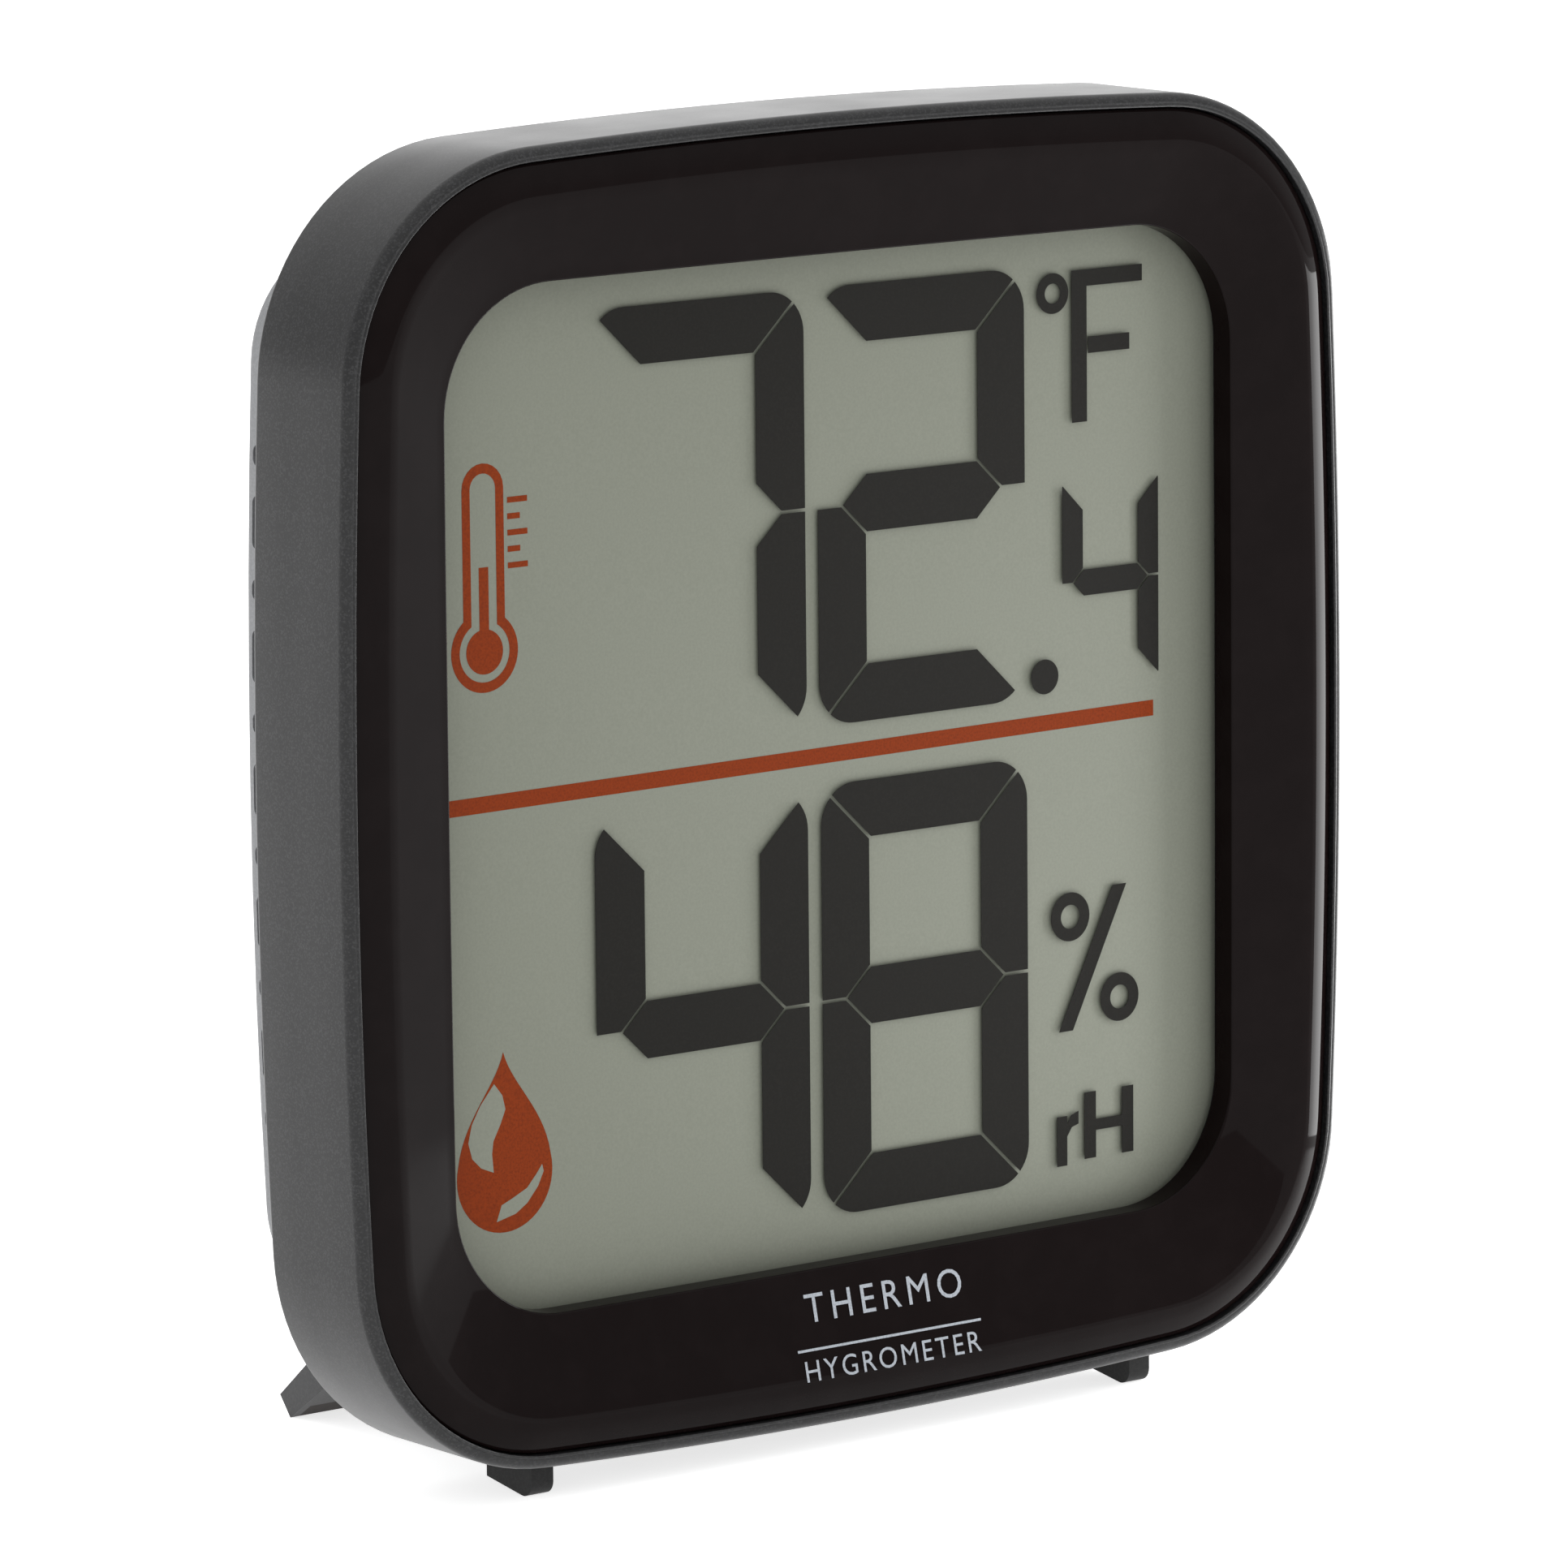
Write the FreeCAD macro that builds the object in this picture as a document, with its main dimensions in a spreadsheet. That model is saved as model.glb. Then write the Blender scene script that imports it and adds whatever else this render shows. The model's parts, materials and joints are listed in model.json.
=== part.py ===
"""Desktop thermo-hygrometer with a flip-out stand, in millimetres.

Every sub-part is designed upright in the case frame: X to the right, Y from the front rim
to the rear, Z up, with the middle of the case at Z = 0. At the end each one is leaned back
on its stand and set down, so that the table is at Z = 0.
"""
import FreeCAD, Part
import math
import os
import re

import Sketcher

DOC = FreeCAD.newDocument("thermo_hygrometer")
SHEET = DOC.addObject("Spreadsheet::Sheet", "Sizes")

SIZES = {
    # case ring
    "case_width": 71.0,
    "case_height": 74.0,
    "case_depth": 9.0,
    "corner_radius": 13.0,
    "side_bow": 500.0,
    "rim_rounding": 0.65,
    "rear_rounding": 0.4,
    "ring_wall": 1.9,
    "rim_wall": 0.9,
    "rim_groove": 0.15,
    "seat_depth": 2.2,
    # bezel
    "bezel_front": 0.1,
    "bezel_roll": 0.7,
    "crest_inset": 2.4,
    "lip_depth": 1.4,
    "window_width": 55.6,
    "window_height": 57.2,
    "window_corner": 7.2,
    "window_bow": 4000.0,
    "window_rise": 0.45,
    "window_tube_wall": 1.0,
    "window_tube_end": 2.9,
    # display stack
    "display_depth": 3.3,
    "display_overlap": 0.8,
    "polariser_inset": 0.2,
    "polariser_thick": 0.2,
    "glass_thick": 0.7,
    "reflector_thick": 0.25,
    "glass_ledge": 2.4,
    "gasket_inset": 0.3,
    # holder, rubber connector and board
    "holder_plate": 0.6,
    "holder_rim": 0.5,
    "holder_gap": 0.1,
    "holder_neck": 1.4,
    "connector_width": 1.6,
    "connector_length": 50.0,
    "connector_gap": 0.4,
    "board_gap": 0.15,
    "board_thick": 1.0,
    "board_side_gap": 1.0,
    "board_low_gap": 1.05,
    "board_end": 1.15,
    "board_ear": 4.8,
    # bosses and screws
    "boss_radius": 1.9,
    "boss_gap": 0.2,
    "boss_rib": 1.6,
    "boss_floor": 0.6,
    "boss_inset": 4.3,
    "screw_radius": 0.9,
    "screw_hole": 1.1,
    "screw_head_radius": 1.6,
    "screw_head_thick": 1.0,
    "screw_recess_radius": 0.8,
    "screw_sink": 0.1,
    "case_screw_length": 4.2,
    "board_screw_length": 3.6,
    "case_screw_top": 12.0,
    "case_screw_bottom": -20.0,
    "board_screw_top": 22.0,
    "board_screw_rise": 5.45,
    # rear shell
    "fit_gap": 0.15,
    "rear_plate": 2.0,
    "housing_inset": 6.2,
    "housing_wall": 1.5,
    "housing_back": 1.2,
    "housing_rounding": 0.5,
    # vents
    "vent_pitch": 7.46,
    "vent_width": 0.9,
    "vent_short": 1.2,
    "vent_long": 3.0,
    "vent_inset": 1.15,
    "vent_skin": 0.6,
    "vent_channel": 1.2,
    "screen_thick": 0.3,
    "screen_gap": 0.7,
    "screen_depth": 5.4,
    "screen_half": 18.2,
    # battery bay
    "cell_radius": 5.25,
    "cell_length": 44.5,
    "bay_play": 0.3,
    "bay_wall": 1.0,
    "bay_floor": 0.65,
    "bay_lift": 1.5,
    "spring_room": 4.7,
    "contact_room": 1.2,
    "contact_thick": 0.3,
    "nub_radius": 1.9,
    "nub_length": 1.2,
    "spring_gap": 0.05,
    "spring_turns": 5.0,
    "spring_wire": 0.5,
    "spring_radius": 3.4,
    "door_thick": 1.1,
    "door_ledge": 0.8,
    "door_pin_radius": 0.35,
    "door_pin_length": 0.5,
    "groove_length": 14.0,
    "groove_pitch": 1.2,
    "groove_depth": 0.3,
    # stand
    "lean_angle": 1.2,
    "stand_open_angle": 39.6,
    "stand_width": 44.8,
    "stand_axis_rise": 1.6,
    "stand_inner": 0.25,
    "stand_outer": 1.9,
    "stand_tip": 1.3,
    "stand_taper": 6.0,
    "stand_play": 0.3,
    "recess_wall": 1.3,
    "barrel_radius": 1.3,
    "pin_radius": 0.6,
    "pin_clearance": 0.05,
    "pin_length": 7.5,
    "pin_sunk": 5.0,
    "grip_thick": 0.4,
    "grip_width": 1.4,
    "grip_margin": 0.6,
    # feet
    "foot_width": 1.5,
    "foot_place": 21.5,
    "foot_front": 2.4,
    "foot_length": 4.2,
    "foot_drop": 1.7,
    "foot_slope_angle": 9.0,
    "foot_root": 1.6,
    "foot_tip_radius": 0.8,
    # magnets
    "magnet_radius": 5.0,
    "magnet_thick": 2.0,
    "magnet_gap": 0.1,
    "magnet_wall": 0.8,
    "magnet_place": 17.0,
    "magnet_height": 12.5,
    # button and switch
    "button_radius": 3.5,
    "button_rise": 6.5,
    "button_proud": 0.3,
    "button_flange": 0.8,
    "button_gap": 0.15,
    "switch_side": 6.0,
    "switch_body": 3.5,
    "plunger_radius": 1.6,
    "plunger_clearance": 0.1,
    "plunger_proud": 1.0,
    "button_travel": 0.5,
    # small electronic parts
    "chip_radius": 4.5,
    "chip_thick": 1.3,
    "chip_across": -4.0,
    "chip_height": 18.0,
    "crystal_radius": 1.0,
    "crystal_length": 6.0,
    "capacitor_length": 1.6,
    "capacitor_side": 0.8,
    "leg_radius": 0.25,
    "sensor_across": -22.0,
    "sensor_height": 11.0,
    "sensor_lift": 2.5,
    "sensor_width": 5.0,
    "sensor_thick": 0.8,
    "sensor_length": 10.0,
    "bead_radius": 1.0,
    "bead_rise": 7.45,
    # hanging slot
    "hanger_head": 3.6,
    "hanger_neck": 1.9,
    "hanger_height": 22.0,
    "hanger_rise": 5.0,
}

# sizes that follow from others, each as a formula
FITTED = {
    "plate_front": "case_depth - rear_plate",
    "display_wide": "window_width / 2 + display_overlap",
    "display_low": "window_rise - window_height / 2 - display_overlap",
    "display_high": "window_rise + window_height / 2 + display_overlap",
    "front_glass": "display_depth + polariser_thick",
    "rear_glass": "front_glass + glass_thick",
    "reflector": "rear_glass + glass_thick",
    "holder": "reflector + reflector_thick",
    "board": "holder + holder_plate + board_gap",
    "board_back": "board + board_thick",
    "connector_low": "display_high + connector_gap",
    "board_half": "case_width / 2 - housing_inner - board_side_gap",
    "board_top": "connector_low + connector_width + board_end",
    "board_bottom": "cell_height + bay_tall + bay_wall + board_low_gap",
    "board_screw_bottom": "board_bottom + board_screw_rise",
    "boss_front": "seat_depth + boss_gap",
    "boss_reach": "case_width / 2 - boss_inset",
    "cell_depth": "board + bay_floor + bay_play + cell_radius",
    "cell_height": "recess_top + bay_lift + bay_wall + bay_tall",
    "bay_half": "(cell_length + spring_room + contact_room) / 2",
    "bay_tall": "cell_radius + bay_play",
    "bay_front": "cell_depth - cell_radius - bay_play",
    "cell_left": "spring_room - bay_half",
    "housing_rear": "cell_depth + cell_radius + fit_gap + door_thick",
    "housing_inner": "housing_inset + housing_wall",
    "inner_back": "housing_rear - housing_back",
    "inner_half": "case_width / 2 - housing_inner",
    "door_tall": "bay_tall + door_ledge",
    "door_wide": "bay_half + door_ledge",
    "door_axis_depth": "housing_rear - door_thick / 2",
    "door_axis_height": "cell_height - door_tall + fit_gap + door_thick / 2",
    "vent_depth": "housing_rear - vent_inset",
    "vent_end": "housing_rear - vent_skin",
    "button_height": "board_bottom + button_rise",
    "bead_height": "board_bottom + bead_rise",
    "foot_low": "-case_height / 2 - foot_drop",
    "foot_slope": "tan(foot_slope_angle * 1 deg)",
    "tip_depth": "foot_front + foot_tip_radius",
    "tip_height": "foot_low + foot_tip_radius * (foot_slope + 1 / cos(foot_slope_angle * 1 deg))",
    "lean_slope": "tan(lean_angle * 1 deg)",
    "table_height": "tip_height - tip_depth * lean_slope - foot_tip_radius / cos(lean_angle * 1 deg)",
    "open_sine": "sin(stand_open_angle * 1 deg)",
    "open_cosine": "cos(stand_open_angle * 1 deg)",
    "stand_axis_depth": "housing_rear - stand_outer",
    "stand_axis_height": "housing_inset + stand_axis_rise - case_height / 2",
    "tip_drop": "stand_axis_height - table_height - stand_tip * open_cosine",
    "tip_back": "stand_axis_depth - stand_tip * open_sine",
    "stand_reach": "(tip_drop - tip_back * lean_slope) / (open_sine + open_cosine * lean_slope)",
    "recess_half": "stand_width / 2 + stand_play",
    "recess_top": "stand_axis_height + stand_reach + stand_play",
    "recess_floor": "stand_axis_depth - stand_inner - stand_play",
    "hinge_floor": "stand_axis_depth - barrel_radius - stand_play",
    "hinge_top": "stand_axis_height + barrel_radius + stand_play",
    "pin_start": "stand_width / 2 - pin_sunk",
}

for row, (alias, value) in enumerate(SIZES.items(), start=1):
    SHEET.set("A%d" % row, alias.replace("_", " "))
    SHEET.set("B%d" % row, str(value))
    SHEET.setAlias("B%d" % row, alias)
DOC.recompute()


def spell_out(formula, prefix=""):
    """Return a formula in the sheet's own sizes, with every fitted size written out."""
    def spell(found):
        word = found.group()
        if word in FITTED:
            return "(%s)" % spell_out(FITTED[word], prefix)
        return prefix + word if word in SIZES else word
    return re.sub("[a-z_]+", spell, formula)


def bind(item, prop, formula):
    """Bind a property to a formula of size names."""
    item.setExpression(prop, spell_out(formula, "Sizes."))


def number(formula):
    """Work out a formula of size names with the document's own expression engine."""
    return float(SHEET.evalExpression(spell_out(formula)))


# ------------------------------------------------------------------ sketches and features

def new_body(label):
    """Start a sub-part as a PartDesign body."""
    body = DOC.addObject("PartDesign::Body", label)
    body.Label = label
    return body


def new_sketch(body, plane, offset):
    """Attach a sketch to one of the body's origin planes, moved along its normal."""
    sketch = body.newObject("Sketcher::SketchObject", body.Label + "_sketch")
    support = next(item for item in body.Origin.OriginFeatures if item.Role == plane)
    sketch.AttachmentSupport = [(support, "")]
    sketch.MapMode = "FlatFace"
    bind(sketch, "AttachmentOffset.Base.z", offset)
    return sketch


def front_sketch(body, depth):
    """Start a sketch seen from the front, at a depth behind the rim."""
    return new_sketch(body, "XZ_Plane", "-(%s)" % depth)


def side_sketch(body, across):
    """Start a sketch seen from the side, whose own axes are depth and height."""
    return new_sketch(body, "YZ_Plane", across)


def hold(sketch, kind, value, *where):
    """Add a sized constraint bound to a formula."""
    amount = number(value)
    index = sketch.addConstraint(Sketcher.Constraint(kind, *where, amount))
    if abs(amount) > 1e-9:
        bind(sketch, "Constraints[%d]" % index, value)


def hold_point(sketch, edge, end, across, up):
    """Fix one end or centre of an edge at a place measured from the sketch's origin."""
    hold(sketch, "DistanceX", across, -1, 1, edge, end)
    hold(sketch, "DistanceY", up, -1, 1, edge, end)


def draw_polygon(sketch, points):
    """Draw a closed outline through points given as pairs of formulas."""
    first = sketch.GeometryCount
    corners = [FreeCAD.Vector(number(across), number(up), 0) for across, up in points]
    count = len(points)
    sketch.addGeometry([Part.LineSegment(corners[step], corners[(step + 1) % count])
                        for step in range(count)], False)
    for step, (across, up) in enumerate(points):
        sketch.addConstraint(Sketcher.Constraint("Coincident", first + step, 2,
                                                 first + (step + 1) % count, 1))
        hold_point(sketch, first + step, 1, across, up)


def draw_rectangle(sketch, left, bottom, right, top):
    """Draw an upright rectangle."""
    draw_polygon(sketch, ((left, bottom), (right, bottom), (right, top), (left, top)))


def draw_circle(sketch, across, up, radius):
    """Draw a circle."""
    centre = FreeCAD.Vector(number(across), number(up), 0)
    edge = sketch.addGeometry(Part.Circle(centre, FreeCAD.Vector(0, 0, 1), number(radius)), False)
    hold_point(sketch, edge, 3, across, up)
    hold(sketch, "Radius", radius, edge)


def draw_slot(sketch, across, up, radius, length):
    """Draw an upright slot with round ends."""
    middle = FreeCAD.Vector(number(across), number(up), 0)
    reach = FreeCAD.Vector(0, number(length) / 2.0 - number(radius), 0)
    side = FreeCAD.Vector(number(radius), 0, 0)
    normal = FreeCAD.Vector(0, 0, 1)
    first = sketch.GeometryCount
    sketch.addGeometry([
        Part.ArcOfCircle(Part.Circle(middle + reach, normal, number(radius)), 0, math.pi),
        Part.LineSegment(middle + reach - side, middle - reach - side),
        Part.ArcOfCircle(Part.Circle(middle - reach, normal, number(radius)), math.pi, 2 * math.pi),
        Part.LineSegment(middle - reach + side, middle + reach + side)], False)
    for step in range(4):
        sketch.addConstraint(Sketcher.Constraint("Tangent", first + step, 2,
                                                 first + (step + 1) % 4, 1))
    sketch.addConstraint(Sketcher.Constraint("Equal", first, first + 2))
    hold(sketch, "Radius", radius, first)
    hold_point(sketch, first, 3, across, "%s + (%s) / 2 - %s" % (up, length, radius))
    hold_point(sketch, first + 2, 3, across, "%s - (%s) / 2 + %s" % (up, length, radius))


def draw_bowed(sketch, half_width, half_height, corner, bow, rise="0"):
    """Draw a rounded rectangle whose four sides are long, gently bowed arcs."""
    wide, high, rounding, curve, lift = [number(text) for text in
                                         (half_width, half_height, corner, bow, rise)]
    side_centre = FreeCAD.Vector(wide - curve, 0, 0)
    top_centre = FreeCAD.Vector(0, high - curve, 0)
    gap = top_centre - side_centre
    square_on = FreeCAD.Vector(-gap.y, gap.x, 0)
    square_on.normalize()
    spread = math.sqrt((curve - rounding) ** 2 - (gap.Length / 2.0) ** 2)
    middle = (side_centre + top_centre) * 0.5
    corner_centre = max((middle + square_on * spread, middle - square_on * spread),
                        key=lambda point: point.x + point.y)
    side_span = math.atan2(corner_centre.y, corner_centre.x - side_centre.x)
    top_span = math.atan2(corner_centre.x, corner_centre.y - top_centre.y)
    normal = FreeCAD.Vector(0, 0, 1)
    up = FreeCAD.Vector(0, lift, 0)
    quarter = math.pi / 2.0
    first = sketch.GeometryCount
    sides = ((side_centre, side_span), (top_centre, top_span),
             (side_centre * -1, side_span), (top_centre * -1, top_span))
    arcs = []
    for turn, (centre, span) in enumerate(sides):
        facing = turn * quarter
        next_span = sides[(turn + 1) % 4][1]
        round_centre = FreeCAD.Vector(abs(corner_centre.x) * (1 if turn in (0, 3) else -1),
                                      abs(corner_centre.y) * (1 if turn in (0, 1) else -1), 0)
        arcs.append(Part.ArcOfCircle(Part.Circle(centre + up, normal, curve),
                                     facing - span, facing + span))
        arcs.append(Part.ArcOfCircle(Part.Circle(round_centre + up, normal, rounding),
                                     facing + span, facing + quarter - next_span))
    sketch.addGeometry(arcs, False)
    for step in range(8):
        sketch.addConstraint(Sketcher.Constraint("Tangent", first + step, 2,
                                                 first + (step + 1) % 8, 1))
    for turn, (across, above) in enumerate(((1, 0), (0, 1), (-1, 0), (0, -1))):
        hold(sketch, "Radius", bow, first + 2 * turn)
        hold(sketch, "Radius", corner, first + 2 * turn + 1)
        hold_point(sketch, first + 2 * turn, 3, "%d * (%s - (%s))" % (across, half_width, bow),
                   "%d * (%s - (%s)) + %s" % (above, half_height, bow, rise))


def draw_case_outline(sketch, inset):
    """Draw the case's own outline, moved inwards all round by an inset."""
    draw_bowed(sketch, "case_width / 2 - (%s)" % inset, "case_height / 2 - (%s)" % inset,
               "corner_radius - (%s)" % inset, "side_bow - (%s)" % inset)


def draw_window(sketch, margin):
    """Draw the window's outline, moved outwards all round by a margin."""
    draw_bowed(sketch, "window_width / 2 + (%s)" % margin, "window_height / 2 + (%s)" % margin,
               "window_corner + (%s)" % margin, "window_bow", "window_rise")


def add(body, sketch, length, rearward=True, both_ways=False):
    """Pad a sketch; front sketches grow rearward, side sketches grow to the right."""
    pad = body.newObject("PartDesign::Pad", body.Label + "_pad")
    pad.Profile = sketch
    pad.Reversed = rearward and sketch.AttachmentSupport[0][0].Role == "XZ_Plane"
    if both_ways:
        pad.SideType = "Symmetric"
    bind(pad, "Length", length)
    sketch.Visibility = False
    DOC.recompute()
    return pad


def cut(body, sketch, length, turned=False, both_ways=False):
    """Pocket a sketch and make sure that it took material away."""
    before = body.Shape.Volume
    pocket = body.newObject("PartDesign::Pocket", body.Label + "_pocket")
    pocket.Profile = sketch
    pocket.Reversed = turned
    if both_ways:
        pocket.SideType = "Symmetric"
    bind(pocket, "Length", length)
    sketch.Visibility = False
    DOC.recompute()
    if body.Shape.Volume > before - 1e-6:
        raise RuntimeError("%s cut nothing from %s" % (pocket.Name, body.Label))
    return pocket


def round_edges(body, radius, wanted):
    """Fillet the edges of the body's tip for which the test is true."""
    tip = body.Tip
    names = ["Edge%d" % place for place, edge in enumerate(tip.Shape.Edges, start=1) if wanted(edge)]
    fillet = body.newObject("PartDesign::Fillet", body.Label + "_fillet")
    fillet.Base = (tip, names)
    bind(fillet, "Radius", radius)
    DOC.recompute()
    return fillet


def lies_at_depth(depth):
    """Return a test for edges that lie flat at a depth."""
    return lambda edge: all(abs(limit - depth) < 1e-6 for limit in
                            (edge.BoundBox.YMin, edge.BoundBox.YMax))


def block(name, width, thick, height, left, front, bottom):
    """Make a box whose sizes are bound to formulas, at a place read from the sheet."""
    box = DOC.addObject("Part::Box", name)
    box.Label = name
    bind(box, "Length", width)
    bind(box, "Width", thick)
    bind(box, "Height", height)
    box.Placement.Base = FreeCAD.Vector(number(left), number(front), number(bottom))
    return box


REARWARD = FreeCAD.Rotation(FreeCAD.Vector(1, 0, 0), -90)
RIGHTWARD = FreeCAD.Rotation(FreeCAD.Vector(0, 1, 0), 90)


def rod(name, radius, length, across, depth, height, facing=REARWARD):
    """Make a cylinder that grows rearward, or to the right, from a place."""
    cylinder = DOC.addObject("Part::Cylinder", name)
    cylinder.Label = name
    bind(cylinder, "Radius", radius)
    bind(cylinder, "Height", length)
    place = FreeCAD.Vector(number(across), number(depth), number(height))
    cylinder.Placement = FreeCAD.Placement(place, facing)
    return cylinder


def join(name, items):
    """Fuse primitives into one solid."""
    fusion = DOC.addObject("Part::MultiFuse", name)
    fusion.Label = name
    fusion.Shapes = items
    return fusion


def group(name, items):
    """Keep several separate solids together in one node."""
    compound = DOC.addObject("Part::Compound", name)
    compound.Label = name
    compound.Links = items
    return compound


# ------------------------------------------------------------------- places used repeatedly

def stand_point(along, out):
    """Return the place of a point of the opened stand, measured from its pins."""
    return ("stand_axis_depth + (%s) * open_cosine - (%s) * open_sine" % (along, out),
            "stand_axis_height - (%s) * open_sine - (%s) * open_cosine" % (along, out))


def both_sides(inner, outer):
    """List the left and right limits of two places mirrored about the middle."""
    return [("-(%s)" % outer, "-(%s)" % inner), (inner, outer)]


def screw_places(heights):
    """List the places of four screws, two on each side."""
    return [("%d * boss_reach" % side, height) for side in (-1, 1) for height in heights]


CASE_SCREWS = screw_places(("case_screw_top", "case_screw_bottom"))
BOARD_SCREWS = screw_places(("board_screw_top", "board_screw_bottom"))


# ---------------------------------------------------------------------------- the sub-parts

def make_front_case():
    """Make the case ring: bowed walls, a seat for the bezel, bosses and slots for the feet."""
    body = new_body("front_case")
    sketch = front_sketch(body, "0")
    draw_case_outline(sketch, "0")
    add(body, sketch, "case_depth")
    round_edges(body, "rim_rounding", lies_at_depth(0.0))
    round_edges(body, "rear_rounding", lies_at_depth(number("case_depth")))
    sketch = front_sketch(body, "0")
    draw_case_outline(sketch, "rim_wall")
    cut(body, sketch, "seat_depth")
    sketch = front_sketch(body, "seat_depth")
    draw_case_outline(sketch, "ring_wall")
    cut(body, sketch, "case_depth")
    for screws, end in ((CASE_SCREWS, "plate_front"), (BOARD_SCREWS, "board")):
        length = "%s - boss_front" % end
        sketch = front_sketch(body, "boss_front")
        for height in sorted({height for across, height in screws}):
            for left, right in both_sides("boss_reach", "case_width / 2 - ring_wall / 2"):
                draw_rectangle(sketch, left, "%s - boss_rib / 2" % height,
                               right, "%s + boss_rib / 2" % height)
        add(body, sketch, length)
        sketch = front_sketch(body, "boss_front")
        for across, height in screws:
            draw_circle(sketch, across, height, "boss_radius")
        add(body, sketch, length)
        sketch = front_sketch(body, end)
        for across, height in screws:
            draw_circle(sketch, across, height, "screw_radius")
        cut(body, sketch, "%s - boss_floor" % length, turned=True)
    for side in (-1, 1):
        sketch = side_sketch(body, "%d * foot_place + foot_width / 2" % side)
        draw_rectangle(sketch, "foot_front", "foot_low", "foot_front + foot_length",
                       "foot_root - case_height / 2")
        cut(body, sketch, "foot_width")
    return body


def make_bezel():
    """Make the gloss bezel: a rolled rim that dishes down to the lip of the window."""
    body = new_body("gloss_bezel")
    sketch = front_sketch(body, "bezel_front")
    draw_case_outline(sketch, "rim_wall + rim_groove")
    add(body, sketch, "seat_depth - bezel_front")
    round_edges(body, "bezel_roll", lies_at_depth(number("bezel_front")))
    crest = front_sketch(body, "bezel_front")
    draw_case_outline(crest, "crest_inset")
    lip = front_sketch(body, "lip_depth")
    draw_window(lip, "0")
    before = body.Shape.Volume
    dish = body.newObject("PartDesign::SubtractiveLoft", "bezel_dish")
    dish.Profile = crest
    dish.Sections = [lip]
    dish.Ruled = True
    DOC.recompute()
    if body.Shape.Volume > before - 1e-6:
        raise RuntimeError("the bezel's dish cut nothing")
    sketch = front_sketch(body, "seat_depth")
    draw_window(sketch, "window_tube_wall")
    add(body, sketch, "window_tube_end - seat_depth")
    sketch = front_sketch(body, "bezel_front")
    draw_window(sketch, "0")
    cut(body, sketch, "window_tube_end")
    return body


def make_sheet(label, depth, thick, inset, top):
    """Make one flat layer of the display."""
    return block(label, "2 * (display_wide - %s)" % inset, thick,
                 "%s - display_low - 2 * %s" % (top, inset),
                 "%s - display_wide" % inset, depth, "display_low + %s" % inset)


def make_gasket():
    """Make the foam frame between the bezel and the display."""
    body = new_body("lcd_gasket")
    for margin, step in (("window_tube_wall", add), ("gasket_inset", cut)):
        sketch = front_sketch(body, "window_tube_end")
        draw_window(sketch, margin)
        step(body, sketch, "display_depth - window_tube_end")
    return body


def make_display():
    """Make the display's gasket, polariser, two glasses and reflector."""
    ledge_top = "(display_high + glass_ledge)"
    return [
        make_gasket(),
        make_sheet("lcd_front_polariser", "display_depth", "polariser_thick", "polariser_inset",
                   "display_high"),
        make_sheet("lcd_front_glass", "front_glass", "glass_thick", "0", ledge_top),
        make_sheet("lcd_rear_glass", "rear_glass", "glass_thick", "0", "display_high"),
        make_sheet("lcd_reflector", "reflector", "reflector_thick", "polariser_inset", "display_high"),
    ]


def make_holder():
    """Make the tray that carries the glass, with a slot for the rubber connector."""
    body = new_body("lcd_holder")
    outer = "(display_wide + holder_gap + holder_rim)"
    inner = "(display_wide + holder_gap)"
    neck = "(connector_length / 2 + holder_neck)"
    connector_top = "(connector_low + connector_width)"
    sketch = front_sketch(body, "front_glass")
    draw_rectangle(sketch, "-" + outer, "display_low - holder_gap - holder_rim", outer,
                   "display_high - holder_rim")
    add(body, sketch, "holder + holder_plate - front_glass")
    sketch = front_sketch(body, "front_glass")
    draw_rectangle(sketch, "-" + inner, "display_low - holder_gap", inner, "display_high")
    cut(body, sketch, "holder - front_glass")
    sketch = front_sketch(body, "holder")
    draw_rectangle(sketch, "-" + neck, "display_high - 2 * holder_rim", neck,
                   "%s + 2 * holder_rim" % connector_top)
    add(body, sketch, "holder_plate")
    sketch = front_sketch(body, "holder")
    draw_rectangle(sketch, "-connector_length / 2 - holder_gap", "connector_low - holder_gap",
                   "connector_length / 2 + holder_gap", "%s + holder_gap" % connector_top)
    cut(body, sketch, "holder_plate")
    return body


def make_board():
    """Make the circuit board with an ear for each screw."""
    body = new_body("main_board")
    sketch = front_sketch(body, "board")
    draw_rectangle(sketch, "-board_half", "board_bottom", "board_half", "board_top")
    add(body, sketch, "board_thick")
    sketch = front_sketch(body, "board")
    for height in ("board_screw_top", "board_screw_bottom"):
        for left, right in both_sides("board_half - board_ear / 2",
                                      "boss_reach + boss_radius - boss_gap"):
            draw_rectangle(sketch, left, "%s - board_ear / 2" % height, right,
                           "%s + board_ear / 2" % height)
    add(body, sketch, "board_thick")
    sketch = front_sketch(body, "board")
    for across, height in BOARD_SCREWS:
        draw_circle(sketch, across, height, "screw_hole")
    cut(body, sketch, "board_thick")
    return body


def make_screws(label, places, seat, length):
    """Make four pan-head screws; the heads stand on the seat and the shanks point forward."""
    screws = []
    for count, (across, height) in enumerate(places):
        name = "%s_%d" % (label, count)
        head = rod(name + "_head", "screw_head_radius", "screw_head_thick", across, seat, height)
        shank = rod(name + "_shank", "screw_radius", length, across, "%s - %s" % (seat, length),
                    height)
        screw = join(name, [head, shank])
        recess = rod(name + "_recess", "screw_recess_radius", "screw_head_thick", across,
                     "%s + screw_head_thick / 2" % seat, height)
        finished = DOC.addObject("Part::Cut", name + "_cut")
        finished.Base = screw
        finished.Tool = recess
        screws.append(finished)
    return group(label, screws)


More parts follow.
